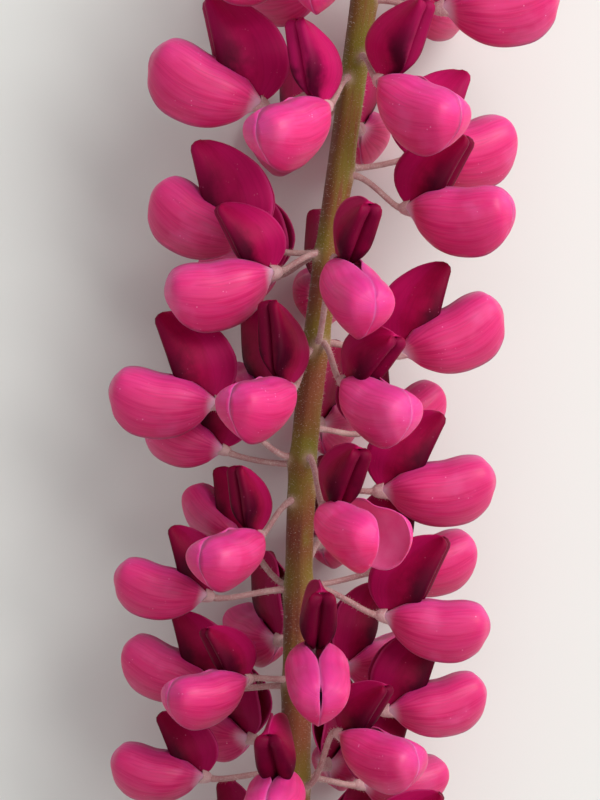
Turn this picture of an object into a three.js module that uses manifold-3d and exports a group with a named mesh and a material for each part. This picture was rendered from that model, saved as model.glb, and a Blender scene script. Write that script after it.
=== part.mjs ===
// A lupin flower spike, picked and lying on a flat surface with its tip towards +Y.
// Millimetres, +Z up. The spike's own frame has +Y along the stem, +Z to its front and +X to its right.
import * as THREE from "three";
import { mergeVertices } from "three/addons/utils/BufferGeometryUtils.js";
import Module from "manifold-3d";

const wasm = await Module();
wasm.setup();

// ---- Driving dimensions -------------------------------------------------------------------------

const STEM = {
  cutEnd: -104, // where the stem was cut, along Y
  top: 119, // where the stem ends inside the youngest buds
  sides: 9,
  step: 11, // length of one facet along the stem
  cutRadius: 2.25,
  radius: 1.85,
  topRadius: 1.2,
  taperFrom: 102, // the stem keeps its thickness up to here, then thins towards the tip
};
// The stem is straight between soft bends: at a height, its lean changes by so much, over a length.
const STEM_LEAN = 0.012;
const STEM_BENDS = [
  { at: -7, change: 0.135, over: 7 },
  { at: 74, change: -0.1, over: 12 },
];
const SEAT_GAP = 0.3; // between a flower's stalk and the stem
const STALK = {
  radius: 0.52,
  segments: 3, // facets of half its round section
  steps: 3,
  leaving: 0.4, // how far it heads straight out of the stem, as a share of its reach
  arriving: 0.35, // how far behind the calyx it turns in line with the flower, likewise
  end: new THREE.Vector3(0, 0.5, -0.3), // where it ends, inside the calyx
};

// One open flower at size 1, measured from its calyx: X to its side, Y forward along its wings and Z up
// along its banner.
const WINGS = {
  halfWidth: 4.4,
  centre: new THREE.Vector2(7.6, -2),
  // How far each layer lies from the seam between the wings, and how much of the outline it keeps.
  layers: [
    { out: 0.8, keeps: 0.7 },
    { out: 0, keeps: 1 },
  ],
  pointsPerCurve: 3,
};
const BANNER = {
  foot: 0.2, // height of its lowest ring
  top: 10.4, // height of its highest ring
  rings: [0, 0.4, 0.75, 1], // where its rings lie, as shares of the way from foot to top
  crown: 0.5, // how far its tip stands above the highest ring
  root: new THREE.Vector3(0, 3.2, -0.6), // where it closes below, between the wings
  front: { foot: 5.4, top: 9.4, bend: 1.2 },
  back: { foot: -1.5, top: 6, bend: 4 },
  halfWidth: 2.6,
  narrowing: 0.35, // how much of its width it has lost at the top
  ridge: 0.5, // half-width of its front, as a share of the whole
  cheek: 0.3, // how far behind the front it is at its widest, as a share of its depth
  fold: 0.5, // how far the channel behind it reaches forward, likewise
};
const CALYX = {
  length: 3.4,
  mouthRadius: 1.8,
  stalkRadius: 0.75,
  sides: 5,
  back: 0.6, // how far it reaches behind its own origin
  drop: 0.4, // how far its axis lies below
};

// The open flowers, whorl by whorl up the spike. node is the height on the stem where a flower's stalk
// starts; at, around and out place its calyx; heading is the way its wings point and pitch how far they
// point up; lean is how far its banner is bent forwards over them. Angles are in degrees, and those
// around the stem run from its front (0) to the right (+90).
const WHORLS = [
  [
    { node: -70, at: -67, around: -80, out: 11.5, heading: -82, pitch: -3, lean: 0, size: 0.9 },
    { node: -70, at: -66, around: -30, out: 8.5, heading: -28, pitch: -16, lean: 0, size: 0.9 },
    { node: -69, at: -64, around: 24, out: 8.5, heading: 26, pitch: -14, lean: 0, size: 0.9 },
    { node: -67, at: -64, around: 84, out: 11.5, heading: 86, pitch: -4, lean: 4, size: 0.92 },
    { node: -68, at: -66, around: 138, out: 10, heading: 142, pitch: 8, lean: 0, size: 0.9 },
    { node: -69, at: -66, around: -142, out: 10, heading: -144, pitch: 8, lean: 0, size: 0.9 },
  ],
  [
    { node: -52, at: -52.4, around: -90, out: 12.4, heading: -92, pitch: 12, lean: 13, size: 0.88 },
    { node: -54, at: -50.4, around: -12, out: 8.2, heading: -10, pitch: -20, lean: 10, size: 0.93 },
    { node: -54, at: -45.6, around: 48, out: 8.2, heading: 50, pitch: -14, lean: 0, size: 0.92 },
    { node: -53, at: -54, around: 117, out: 10, heading: 114, pitch: 5, lean: 4, size: 0.89 },
    { node: -55, at: -52, around: 158, out: 11, heading: 158, pitch: 6, lean: 0, size: 0.95 },
    { node: -51, at: -48, around: -142, out: 9.8, heading: -138, pitch: 10, lean: 0, size: 0.9 },
  ],
  [
    { node: -40, at: -32.6, around: 16, out: 8, heading: 4, pitch: -30, lean: -6, size: 1 },
    { node: -39, at: -38.2, around: -56, out: 8.2, heading: -55, pitch: -9, lean: 0, size: 0.87 },
    { node: -40, at: -39.8, around: -102, out: 11.5, heading: -102, pitch: 22, lean: 15, size: 0.93 },
    { node: -40, at: -43.3, around: 98, out: 12.5, heading: 96, pitch: 13, lean: 11, size: 0.95 },
    { node: -39, at: -37.5, around: 138, out: 9.6, heading: 132, pitch: 8, lean: 0, size: 0.9 },
    { node: -38, at: -34, around: -166, out: 9.6, heading: -156, pitch: 8, lean: 0, size: 0.97 },
  ],
  [
    { node: -14, at: -18.3, around: -44, out: 8, heading: -36, pitch: -13, lean: -22, size: 0.9 },
    { node: -26, at: -19.6, around: -126, out: 9.2, heading: -124, pitch: 36, lean: 22, size: 0.78 },
    { node: -26.5, at: -27, around: -85, out: 12.3, heading: -88, pitch: 15, lean: 8, size: 0.88 },
    { node: -8, at: -14.3, around: 25, out: 8, heading: 29, pitch: -16, lean: 0, size: 0.99 },
    { node: -12, at: -12.2, around: 84, out: 10.8, heading: 90, pitch: 8, lean: 12, size: 1.06 },
    { node: -26, at: -29.5, around: 78, out: 12, heading: 82, pitch: -4, lean: 0, size: 0.98 },
    { node: -26, at: -23.8, around: 112, out: 11.6, heading: 102, pitch: 14, lean: 0, size: 0.98 },
    { node: -24, at: -20, around: 164, out: 10, heading: 162, pitch: 10, lean: 0, size: 0.95 },
  ],
  [
    { node: 8, at: 3, around: 30, out: 8.8, heading: 42, pitch: -20, lean: 8, size: 0.93 },
    { node: 8, at: 7, around: 86, out: 11.4, heading: 90, pitch: 26, lean: 19, size: 1.02 },
    { node: 7, at: 2, around: -20, out: 8, heading: -36, pitch: -10, lean: -26, size: 0.92 },
    { node: -8, at: 0, around: -85, out: 12.5, heading: -88, pitch: 10, lean: 8, size: 1 },
    { node: -9, at: -6.8, around: -110, out: 11.6, heading: -108, pitch: 25, lean: 0, size: 0.84 },
    { node: -4, at: -4, around: 126, out: 10, heading: 112, pitch: 26, lean: 0, size: 0.86 },
    { node: -7, at: -3, around: 170, out: 9.4, heading: 166, pitch: 8, lean: 0, size: 0.95 },
    { node: 0, at: 1, around: -152, out: 11.2, heading: -154, pitch: 10, lean: 0, size: 0.98 },
  ],
  [
    { node: 8, at: 19.6, around: 9, out: 8.2, heading: 22, pitch: -30, lean: -6, size: 0.98 },
    { node: 20.5, at: 18.2, around: -62, out: 8, heading: -78, pitch: -10, lean: -4, size: 1.03 },
    { node: 20.5, at: 22.5, around: -102, out: 11.3, heading: -97, pitch: 31, lean: 23, size: 1.02 },
    { node: 31.5, at: 27.2, around: 78, out: 10, heading: 67, pitch: -2, lean: 7, size: 1.03 },
    { node: 32.5, at: 34.5, around: 108, out: 9.6, heading: 103, pitch: 15, lean: 13, size: 1.05 },
    { node: 20, at: 15.5, around: 179, out: 9, heading: -178, pitch: 10, lean: 0, size: 0.97 },
    { node: 20.5, at: 18.4, around: -138, out: 10.2, heading: -134, pitch: 8, lean: 0, size: 0.93 },
  ],
  [
    { node: 44.5, at: 41.5, around: -84, out: 12, heading: -84, pitch: 26, lean: 17, size: 1.1 },
    { node: 45, at: 40.8, around: -24, out: 8, heading: -41, pitch: -19, lean: -26, size: 1 },
    { node: 48, at: 44.4, around: 27, out: 8, heading: 47, pitch: -25, lean: -22, size: 1.04 },
    { node: 40, at: 39.4, around: 170, out: 10.2, heading: 174, pitch: 6, lean: 0, size: 0.9 },
    { node: 42, at: 38, around: -152, out: 11.7, heading: -154, pitch: 11, lean: 0, size: 0.98 },
  ],
  [
    { node: 56, at: 55.2, around: 86, out: 10.6, heading: 88, pitch: 10, lean: 4, size: 1.09 },
    { node: 60, at: 61, around: -76, out: 10.8, heading: -52, pitch: 0, lean: 2, size: 1 },
    { node: 60, at: 61, around: -42, out: 8.4, heading: -12, pitch: -14, lean: 0, size: 0.98 },
    { node: 64, at: 66, around: 30, out: 8, heading: 36, pitch: -6, lean: 0, size: 0.98 },
    { node: 59, at: 57, around: 144, out: 9.4, heading: 142, pitch: 14, lean: 0, size: 1 },
    { node: 61, at: 59, around: -140, out: 9.4, heading: -138, pitch: 14, lean: 0, size: 1 },
  ],
];

// Above the open flowers the whorls get closer, and their flowers smaller, more shut and more upright.
const YOUNG = {
  first: 76,
  whorls: 8,
  firstSpacing: 9,
  spacingRatio: 0.84,
  perWhorl: 6,
  turn: 31,
  firstLength: 18,
  lastLength: 5,
  firstRise: 20,
  lastRise: 78,
  shrinking: 0.8, // under 1, the lower whorls shrink faster than the upper ones
  slimness: 0.19, // half-thickness over length of the first, longest buds
  plumpness: 0.27, // the same of the last, shortest ones
  footDepth: 0.4, // where a bud starts inside the stem, in stem radii from its middle
  heart: { from: 99, length: 24, girth: 3 },
};
const BUD = { sides: 5, rings: 3, footGirth: 1.15, tipGirth: 0.75 };

// ---- Helpers ------------------------------------------------------------------------------------

const radians = THREE.MathUtils.degToRad;
const lerp = THREE.MathUtils.lerp;
const smoothstep = THREE.MathUtils.smoothstep;
const MERGE_DISTANCE = 1e-4;

// A geometry's closed surface as a solid that booleans can use.
function solid(geometry) {
  const bare = new THREE.BufferGeometry();
  bare.setAttribute("position", geometry.getAttribute("position").clone());
  if (geometry.index) bare.setIndex(geometry.index.clone());
  const merged = mergeVertices(bare, MERGE_DISTANCE);
  return new wasm.Manifold(
    new wasm.Mesh({
      numProp: 3,
      vertProperties: merged.attributes.position.array,
      triVerts: new Uint32Array(merged.index.array),
    }),
  );
}

// A solid's surface as a geometry.
function surface(manifold) {
  const mesh = manifold.getMesh();
  const positions = new Float32Array(mesh.numVert * 3);
  for (let i = 0; i < mesh.numVert; i++)
    positions.set(
      mesh.vertProperties.subarray(i * mesh.numProp, i * mesh.numProp + 3),
      i * 3,
    );
  const geometry = new THREE.BufferGeometry();
  geometry.setAttribute("position", new THREE.BufferAttribute(positions, 3));
  geometry.setIndex(new THREE.BufferAttribute(mesh.triVerts, 1));
  geometry.computeVertexNormals();
  return geometry;
}

// The closed skin over a row of rings with the same number of points, each end drawn to one point.
function loft(start, rings, end) {
  const sides = rings[0].length;
  const points = [start, ...rings.flat(), end];
  const last = points.length - 1;
  const at = (ring, side) => 1 + ring * sides + (side % sides);
  const index = [];
  for (let side = 0; side < sides; side++) {
    index.push(0, at(0, side + 1), at(0, side));
    for (let ring = 0; ring + 1 < rings.length; ring++) {
      index.push(at(ring, side), at(ring, side + 1), at(ring + 1, side));
      index.push(at(ring, side + 1), at(ring + 1, side + 1), at(ring + 1, side));
    }
    index.push(at(rings.length - 1, side), at(rings.length - 1, side + 1), last);
  }
  const geometry = new THREE.BufferGeometry().setFromPoints(points);
  geometry.setIndex(index);
  return geometry;
}

// How far the stem's centre line lies to the right at a height.
function stemX(y) {
  return STEM_BENDS.reduce(
    (x, bend) =>
      x + bend.change * bend.over * Math.log1p(Math.exp((y - bend.at) / bend.over)),
    STEM_LEAN * y,
  );
}

// The stem's radius at a height: it thins from the cut to its middle, and again inside the tip.
function stemRadius(y) {
  const lower = lerp(STEM.cutRadius, STEM.radius, smoothstep(y, STEM.cutEnd, 0));
  return lerp(lower, STEM.topRadius, smoothstep(y, STEM.taperFrom, STEM.top));
}

// The direction from the stem that lies so many degrees round from its front.
function outward(degrees) {
  return new THREE.Vector3(Math.sin(radians(degrees)), 0, Math.cos(radians(degrees)));
}

// A point so many times the stem's radius out from its centre line, at a height and an angle around it.
function onStem(height, around, radii) {
  const point = outward(around).multiplyScalar(radii * stemRadius(height));
  point.x += stemX(height);
  point.y = height;
  return point;
}

// ---- The stem -----------------------------------------------------------------------------------

function stemGeometry() {
  const profile = [new THREE.Vector2(0, STEM.cutEnd)];
  const steps = Math.round((STEM.top - STEM.cutEnd) / STEM.step);
  for (let i = 0; i <= steps; i++) {
    const y = lerp(STEM.cutEnd, STEM.top, i / steps);
    profile.push(new THREE.Vector2(stemRadius(y), y));
  }
  profile.push(new THREE.Vector2(0, STEM.top));
  const geometry = new THREE.LatheGeometry(profile, STEM.sides);
  const position = geometry.getAttribute("position");
  for (let i = 0; i < position.count; i++)
    position.setX(i, position.getX(i) + stemX(position.getY(i)));
  return geometry;
}

// ---- One flower ---------------------------------------------------------------------------------

// The outline of a wing from the side, from its claw over its nose and back below.
function wingOutline() {
  const outline = new THREE.Shape();
  outline.moveTo(0, -0.3);
  outline.bezierCurveTo(3, 1.4, 5, 2.7, 8.6, 2.6);
  outline.bezierCurveTo(12.6, 2.6, 15, 1.9, 15, -1.3);
  outline.bezierCurveTo(15, -4.4, 12.8, -7.2, 8.8, -7.2);
  outline.bezierCurveTo(5, -7.2, 1.3, -5.4, 0, -2);
  return outline.getPoints(WINGS.pointsPerCurve);
}

// The two wings, swollen and shut: their outlines meet at the seam, and shrink away from it.
function wingsSolid() {
  const outline = wingOutline();
  const ring = (side, layer) =>
    outline.map((point) => {
      const kept = point.clone().sub(WINGS.centre).multiplyScalar(layer.keeps).add(WINGS.centre);
      return new THREE.Vector3(side * layer.out * WINGS.halfWidth, kept.x, kept.y);
    });
  const right = WINGS.layers.map((layer) => ring(1, layer));
  const left = WINGS.layers.slice(0, -1).map((layer) => ring(-1, layer));
  const pole = (side) =>
    new THREE.Vector3(side * WINGS.halfWidth, WINGS.centre.x, WINGS.centre.y);
  return solid(loft(pole(1), [...right, ...left.reverse()], pole(-1)));
}

// The banner, folded back along its midrib into a channel that is open behind.
function bannerSolid() {
  const rings = BANNER.rings.map((share) => {
    const z = lerp(BANNER.foot, BANNER.top, share);
    const front = lerp(BANNER.front.foot, BANNER.front.top, share ** BANNER.front.bend);
    const back = lerp(BANNER.back.foot, BANNER.back.top, share ** BANNER.back.bend);
    const half = BANNER.halfWidth * (1 - BANNER.narrowing * share ** 3);
    const ridge = half * BANNER.ridge;
    const cheek = lerp(front, back, BANNER.cheek);
    const fold = lerp(front, back, BANNER.fold);
    return [
      new THREE.Vector3(-ridge, front, z),
      new THREE.Vector3(-half, cheek, z),
      new THREE.Vector3(-half, back, z),
      new THREE.Vector3(0, fold, z),
      new THREE.Vector3(half, back, z),
      new THREE.Vector3(half, cheek, z),
      new THREE.Vector3(ridge, front, z),
    ];
  });
  const tipForward = (BANNER.front.top + BANNER.back.top) / 2;
  const tip = new THREE.Vector3(0, tipForward, BANNER.top + BANNER.crown);
  return solid(loft(BANNER.root, rings, tip));
}

// The calyx, a short cup around the petals' claws.
function calyxSolid() {
  const cup = new THREE.CylinderGeometry(
    CALYX.mouthRadius,
    CALYX.stalkRadius,
    CALYX.length,
    CALYX.sides,
  );
  cup.translate(0, CALYX.length / 2 - CALYX.back, -CALYX.drop);
  return solid(cup);
}

// A flower's stalk, in the flower's own frame: a tube that leaves the stem square and ends in the calyx.
function stalkSolid(start, startDirection) {
  const reach = start.length();
  const path = new THREE.CubicBezierCurve3(
    start,
    start.clone().addScaledVector(startDirection, reach * STALK.leaving),
    new THREE.Vector3(0, -reach * STALK.arriving, STALK.end.z),
    STALK.end,
  );
  const section = new THREE.Shape().absarc(0, 0, STALK.radius, 0, 2 * Math.PI);
  return solid(
    new THREE.ExtrudeGeometry(section, {
      curveSegments: STALK.segments,
      steps: STALK.steps,
      extrudePath: path,
      bevelEnabled: false,
    }),
  );
}

const WINGS_AND_CALYX = wingsSolid().add(calyxSolid());
const FOLDED_BANNER = bannerSolid();

const PETAL_PINK = new THREE.MeshStandardMaterial({
  name: "wings",
  color: 0xcf3a76,
  roughness: 0.55,
  metalness: 0,
});
const STEM_BROWN = new THREE.MeshStandardMaterial({
  name: "stem",
  color: 0x6b4a2c,
  roughness: 0.6,
  metalness: 0,
});

// A flower in its place: its petals turned to point its way, and its stalk drawn back to the stem.
function flowerMesh(name, place) {
  const calyx = outward(place.around).multiplyScalar(place.out);
  calyx.x += stemX(place.at);
  calyx.y = place.at;

  const level = outward(place.heading);
  const along = new THREE.Vector3(0, 1, 0);
  const pitch = radians(place.pitch);
  const forward = level
    .clone()
    .multiplyScalar(Math.cos(pitch))
    .addScaledVector(along, Math.sin(pitch));
  const up = along
    .clone()
    .multiplyScalar(Math.cos(pitch))
    .addScaledVector(level, -Math.sin(pitch));
  const side = new THREE.Vector3().crossVectors(forward, up);

  const seat = 1 + SEAT_GAP / stemRadius(place.node);
  const stalkStart = onStem(place.node, place.around, seat);

  const turn = new THREE.Matrix4().makeBasis(side, forward, up);
  const back = turn.clone().invert();
  const start = stalkStart.sub(calyx).applyMatrix4(back);
  const direction = outward(place.around).applyMatrix4(back);
  const body = WINGS_AND_CALYX
    .add(FOLDED_BANNER.rotate(-place.lean, 0, 0))
    .scale(place.size)
    .add(stalkSolid(start, direction));

  const mesh = new THREE.Mesh(surface(body), PETAL_PINK);
  mesh.name = name;
  mesh.position.copy(calyx);
  mesh.quaternion.setFromRotationMatrix(turn);
  return mesh;
}

// ---- The young top ------------------------------------------------------------------------------

// A shut flower or bud, drawn from its foot on the stem along its length: plump, and narrower at its end.
function budSolid(length, widest, foot, direction) {
  const shape = new THREE.SphereGeometry(1, BUD.sides, BUD.rings);
  const position = shape.getAttribute("position");
  for (let i = 0; i < position.count; i++) {
    const along = (position.getY(i) + 1) / 2;
    const girth = widest * lerp(BUD.footGirth, BUD.tipGirth, along);
    position.setXYZ(i, position.getX(i) * girth, along * length, position.getZ(i) * girth);
  }
  const turn = new THREE.Quaternion().setFromUnitVectors(
    new THREE.Vector3(0, 1, 0),
    direction,
  );
  shape.applyQuaternion(turn);
  shape.translate(foot.x, foot.y, foot.z);
  return solid(shape);
}

// The stem with its young top, whose buds are too many to be pieces of their own.
function stemAndBuds() {
  const heartFoot = onStem(YOUNG.heart.from, 0, 0);
  const upward = new THREE.Vector3(0, 1, 0);
  const heart = budSolid(YOUNG.heart.length, YOUNG.heart.girth, heartFoot, upward);
  let body = solid(stemGeometry()).add(heart);
  let height = YOUNG.first;
  let spacing = YOUNG.firstSpacing;
  for (let whorl = 0; whorl < YOUNG.whorls; whorl++) {
    const share = whorl / (YOUNG.whorls - 1);
    const length = lerp(YOUNG.firstLength, YOUNG.lastLength, share ** YOUNG.shrinking);
    const girth = length * lerp(YOUNG.slimness, YOUNG.plumpness, share);
    const rise = radians(lerp(YOUNG.firstRise, YOUNG.lastRise, share));
    for (let i = 0; i < YOUNG.perWhorl; i++) {
      const around = (360 * i) / YOUNG.perWhorl + YOUNG.turn * whorl;
      const direction = outward(around).multiplyScalar(Math.cos(rise)).setY(Math.sin(rise));
      const foot = onStem(height, around, YOUNG.footDepth);
      body = body.add(budSolid(length, girth, foot, direction));
    }
    height += spacing;
    spacing *= YOUNG.spacingRatio;
  }
  return surface(body);
}

// ---- The spike ----------------------------------------------------------------------------------

const spike = new THREE.Group();
const stem = new THREE.Mesh(stemAndBuds(), STEM_BROWN);
stem.name = "stem";
spike.add(stem);
WHORLS.forEach((places, whorl) =>
  places.forEach((place, i) =>
    spike.add(flowerMesh(`flower_${whorl + 1}_${i + 1}`, place)),
  ),
);

// The spike lies on its lower flowers, with the origin below the middle of its box.
spike.updateMatrixWorld(true);
const box = new THREE.Box3().setFromObject(spike, true);
const middle = box.getCenter(new THREE.Vector3());
spike.position.set(-middle.x, -middle.y, -box.min.z);
const lupin = new THREE.Group();
lupin.add(spike);

export default lupin;
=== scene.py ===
"""A picked lupin flower spike, lying on its back on a pale floor: its stem, open flowers and young top.

The spike's own frame has +Y along the stem towards the tip, +Z to its front and +X to its right. Sizes are
in millimetres in that frame, and become metres in the part's frame when a piece is made.
"""

import logging
import math
import random
from collections.abc import Sequence
from dataclasses import dataclass, field
from enum import Enum

import bpy
import numpy as np
from mathutils import Matrix, Vector


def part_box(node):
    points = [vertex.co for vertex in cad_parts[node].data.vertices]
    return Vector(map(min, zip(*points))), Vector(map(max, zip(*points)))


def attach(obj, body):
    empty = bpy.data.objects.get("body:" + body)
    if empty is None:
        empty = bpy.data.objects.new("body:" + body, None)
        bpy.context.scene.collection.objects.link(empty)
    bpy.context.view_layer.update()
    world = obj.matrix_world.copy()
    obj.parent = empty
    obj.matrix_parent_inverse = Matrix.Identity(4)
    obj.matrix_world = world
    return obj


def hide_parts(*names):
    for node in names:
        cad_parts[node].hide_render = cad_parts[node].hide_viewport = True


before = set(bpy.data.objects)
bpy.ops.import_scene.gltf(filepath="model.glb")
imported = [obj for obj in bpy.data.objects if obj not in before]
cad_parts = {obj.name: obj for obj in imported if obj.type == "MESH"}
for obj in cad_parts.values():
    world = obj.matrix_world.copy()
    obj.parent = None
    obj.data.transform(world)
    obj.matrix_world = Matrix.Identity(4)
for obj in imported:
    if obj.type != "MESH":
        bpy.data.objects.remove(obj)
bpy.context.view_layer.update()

LOG = logging.getLogger("lupin")
MM = 0.001
BODY = "root"
UV_NAME = "UVMap"
FULL_TURN = 2 * math.pi

Colour = tuple[float, float, float, float]
Points = Sequence[tuple[float, float]]
Range = tuple[float, float]
Number = float | np.ndarray
Mesh = bpy.types.Mesh
Material = bpy.types.Material
Socket = bpy.types.NodeSocket
Value = Socket | float | tuple


# ---- Small helpers ----


def srgb(red: int, green: int, blue: int) -> Colour:
    """A display colour of 0 to 255 a channel, as linear values with full alpha.

    Args:
        red, green, blue: the display colour.

    Returns:
        The linear colour.
    """

    def linear(value: int) -> float:
        """One channel, as a linear value."""
        share = value / 255
        return share / 12.92 if share <= 0.04045 else ((share + 0.055) / 1.055) ** 2.4

    return linear(red), linear(green), linear(blue), 1.0


def lerp(start: Number, end: Number, share: Number) -> Number:
    """The value that lies a share of the way from start to end."""
    return start + (end - start) * share


def smoothstep(low: float, high: float, value: Number) -> Number:
    """A soft step from 0 at low to 1 at high."""
    share = np.clip((value - low) / (high - low), 0, 1)
    return share * share * (3 - 2 * share)


def bell(value: Number, width: float) -> Number:
    """A soft bump, 1 where value is 0, which falls off over a width."""
    return np.exp(-((value / width) ** 2))


def outward(degrees: float) -> np.ndarray:
    """The direction from the stem that lies so many degrees round from its front."""
    angle = math.radians(degrees)
    return np.array([math.sin(angle), 0.0, math.cos(angle)])


def ring_angles(count: int) -> np.ndarray:
    """So many evenly spaced angles of a full turn, in radians."""
    return np.linspace(0, FULL_TURN, count, endpoint=False)


def grid(down: np.ndarray, across: np.ndarray) -> np.ndarray:
    """Pairs of pattern coordinates, as rows x columns x 2."""
    return np.stack(np.meshgrid(down, across, indexing="ij"), axis=-1)


def walked(path: np.ndarray) -> np.ndarray:
    """How far along a path each of its points is."""
    return np.r_[0, np.cumsum(np.linalg.norm(np.diff(path, axis=0), axis=1))]


def through(points: Points, samples: int, ends: float = 0.0) -> np.ndarray:
    """A smooth curve through points.

    Args:
        points: the points, in order.
        samples: how many points to return.
        ends: 0 spaces them evenly along the curve, and 1 draws them together at both ends.

    Returns:
        The curve's points, one a row.
    """
    known = np.array(points, float)
    padded = np.vstack([2 * known[0] - known[1], known, 2 * known[-1] - known[-2]])
    share = np.linspace(0, 1, 12, endpoint=False)[:, None]
    pieces = []
    for a, b, c, d in zip(padded, padded[1:], padded[2:], padded[3:]):
        slope_b, slope_c = (c - a) / 2, (d - b) / 2
        cubic = 2 * (b - c) + slope_b + slope_c
        square = 3 * (c - b) - 2 * slope_b - slope_c
        pieces.append(((cubic * share + square) * share + slope_b) * share + b)
    fine = np.vstack([*pieces, known[-1:]])
    lengths = walked(fine)
    even = np.linspace(0, 1, samples)
    drawn = (1 - np.cos(np.pi * even)) / 2
    wanted = lerp(even, drawn, ends) * lengths[-1]
    return np.column_stack([np.interp(wanted, lengths, fine[:, i]) for i in range(fine.shape[1])])


def profile(points: Points, at: np.ndarray) -> np.ndarray:
    """The height of a smooth curve through (place, height) points, at the places given."""
    curve = through(points, 200)
    return np.interp(at, curve[:, 0], curve[:, 1])


# ---- The frame that the spike lies in ----


@dataclass(frozen=True)
class Bend:
    """A soft bend of the stem: at a height its lean changes by so much, over a length."""

    at: float
    change: float
    over: float


@dataclass(frozen=True)
class StemLine:
    """The stem's centre line and thickness.

    Attributes:
        cut_end: the height of its cut end.
        top: the height of its tip.
        cut_radius: its radius at the cut end.
        radius: its radius from the middle up.
        top_radius: its radius at the tip.
        taper_from: the height above which it narrows to that.
        lean: how far it goes to the right for each millimetre up, below its bends.
        bends: its bends.
    """

    cut_end: float = -104
    top: float = 119
    cut_radius: float = 2.25
    radius: float = 1.85
    top_radius: float = 1.2
    taper_from: float = 102
    lean: float = 0.012
    bends: tuple[Bend, ...] = (Bend(-7, 0.135, 7), Bend(74, -0.1, 12))

    def x_at(self, height: Number) -> Number:
        """How far the centre line lies to the right at a height.

        Args:
            height: along the stem.

        Returns:
            In millimetres.
        """
        x = self.lean * height
        for bend in self.bends:
            x = x + bend.change * bend.over * np.log1p(np.exp((height - bend.at) / bend.over))
        return x

    def middle(self, height: float) -> np.ndarray:
        """The centre line's point at a height."""
        return np.array([self.x_at(height), height, 0.0])

    def radius_at(self, height: Number) -> Number:
        """The stem's radius at a height."""
        lower = lerp(self.cut_radius, self.radius, smoothstep(self.cut_end, 0, height))
        return lerp(lower, self.top_radius, smoothstep(self.taper_from, self.top, height))

    def point(self, height: float, around: float, radii: float) -> np.ndarray:
        """The point so many radii out from the centre line, at a height and an angle around the stem."""
        return outward(around) * radii * self.radius_at(height) + self.middle(height)


LINE = StemLine()


def spike_origin() -> np.ndarray:
    """Where the spike's own frame lies in the part's, read off the middle of the CAD stem's cut end.

    Returns:
        The place, in millimetres.
    """
    touching = 0.01
    corners = np.array([v.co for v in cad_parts["stem"].data.vertices]) / MM
    rim = corners[corners[:, 1] < corners[:, 1].min() + touching]
    middle = np.unique(np.round(rim, 3), axis=0).mean(axis=0)
    return middle - LINE.middle(LINE.cut_end)


ORIGIN = spike_origin()


# ---- Making pieces ----


@dataclass
class Shape:
    """Faces under construction, in millimetres in the spike's frame.

    Attributes:
        points: the corners, one a row.
        faces: each face's corners.
        uvs: a pair of pattern coordinates for each corner point.
        slots: the material slot of each face.
        marks: named values for each point, which a material can read.
    """

    points: np.ndarray
    faces: list[tuple[int, ...]]
    uvs: np.ndarray
    slots: list[int] = field(default_factory=list)
    marks: dict[str, np.ndarray] = field(default_factory=dict)

    def __post_init__(self) -> None:
        """Puts every face in the first material slot where none is given."""
        if not self.slots:
            self.slots = [0] * len(self.faces)

    def joined(self, other: "Shape") -> "Shape":
        """This shape and another as one.

        Args:
            other: the second one.

        Returns:
            The whole.
        """
        shift = len(self.points)
        return Shape(
            np.vstack([self.points, other.points]),
            self.faces + [tuple(i + shift for i in f) for f in other.faces],
            np.vstack([self.uvs, other.uvs]),
            self.slots + other.slots,
            {k: np.concatenate([v, other.marks[k]]) for k, v in self.marks.items() if k in other.marks},
        )

    def moved(self, points: np.ndarray) -> "Shape":
        """The same faces on other points."""
        return Shape(points, self.faces, self.uvs, self.slots, self.marks)

    def flipped(self) -> "Shape":
        """The same shape with its faces turned over."""
        return Shape(self.points, [f[::-1] for f in self.faces], self.uvs, self.slots, self.marks)

    def capped(self, sides: int, slots: Sequence[int] = (0, 0)) -> "Shape":
        """This shape, a skin of rings of points, with its first and last rings filled.

        Args:
            sides: how many points a ring has.
            slots: the material slots of the two fillings. With one alone, the last ring stays open.

        Returns:
            The filled shape.
        """
        last = len(self.points) - sides
        caps = [tuple(range(sides))[::-1], tuple(range(last, last + sides))][: len(slots)]
        return Shape(self.points, self.faces + caps, self.uvs, self.slots + list(slots), self.marks)

    def marked(self, name: str, value: float) -> "Shape":
        """This shape with one more mark, the same at every point."""
        self.marks[name] = np.full(len(self.points), value)
        return self

    def mesh(self, name: str) -> Mesh:
        """The shape as a smooth mesh in metres, in the part's frame.

        Args:
            name: the mesh's.

        Returns:
            The mesh, with its map and marks.
        """
        mesh = bpy.data.meshes.new(name)
        mesh.from_pydata(((self.points + ORIGIN) * MM).tolist(), [], self.faces)
        mesh.polygons.foreach_set("material_index", self.slots)
        mesh.polygons.foreach_set("use_smooth", [True] * len(self.faces))
        corner = np.zeros(len(mesh.loops), np.int32)
        mesh.loops.foreach_get("vertex_index", corner)
        layer = mesh.uv_layers.new(name=UV_NAME)
        layer.data.foreach_set("uv", self.uvs[corner].astype(np.float32).ravel())
        for mark, values in self.marks.items():
            attribute = mesh.attributes.new(mark, "FLOAT", "POINT")
            attribute.data.foreach_set("value", values.astype(np.float32))
        mesh.update()
        return mesh


def united(shapes: Sequence[Shape]) -> Shape:
    """Several shapes as one.

    Args:
        shapes: what to join.

    Returns:
        The whole.
    """
    whole = shapes[0]
    for shape in shapes[1:]:
        whole = whole.joined(shape)
    return whole


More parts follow.
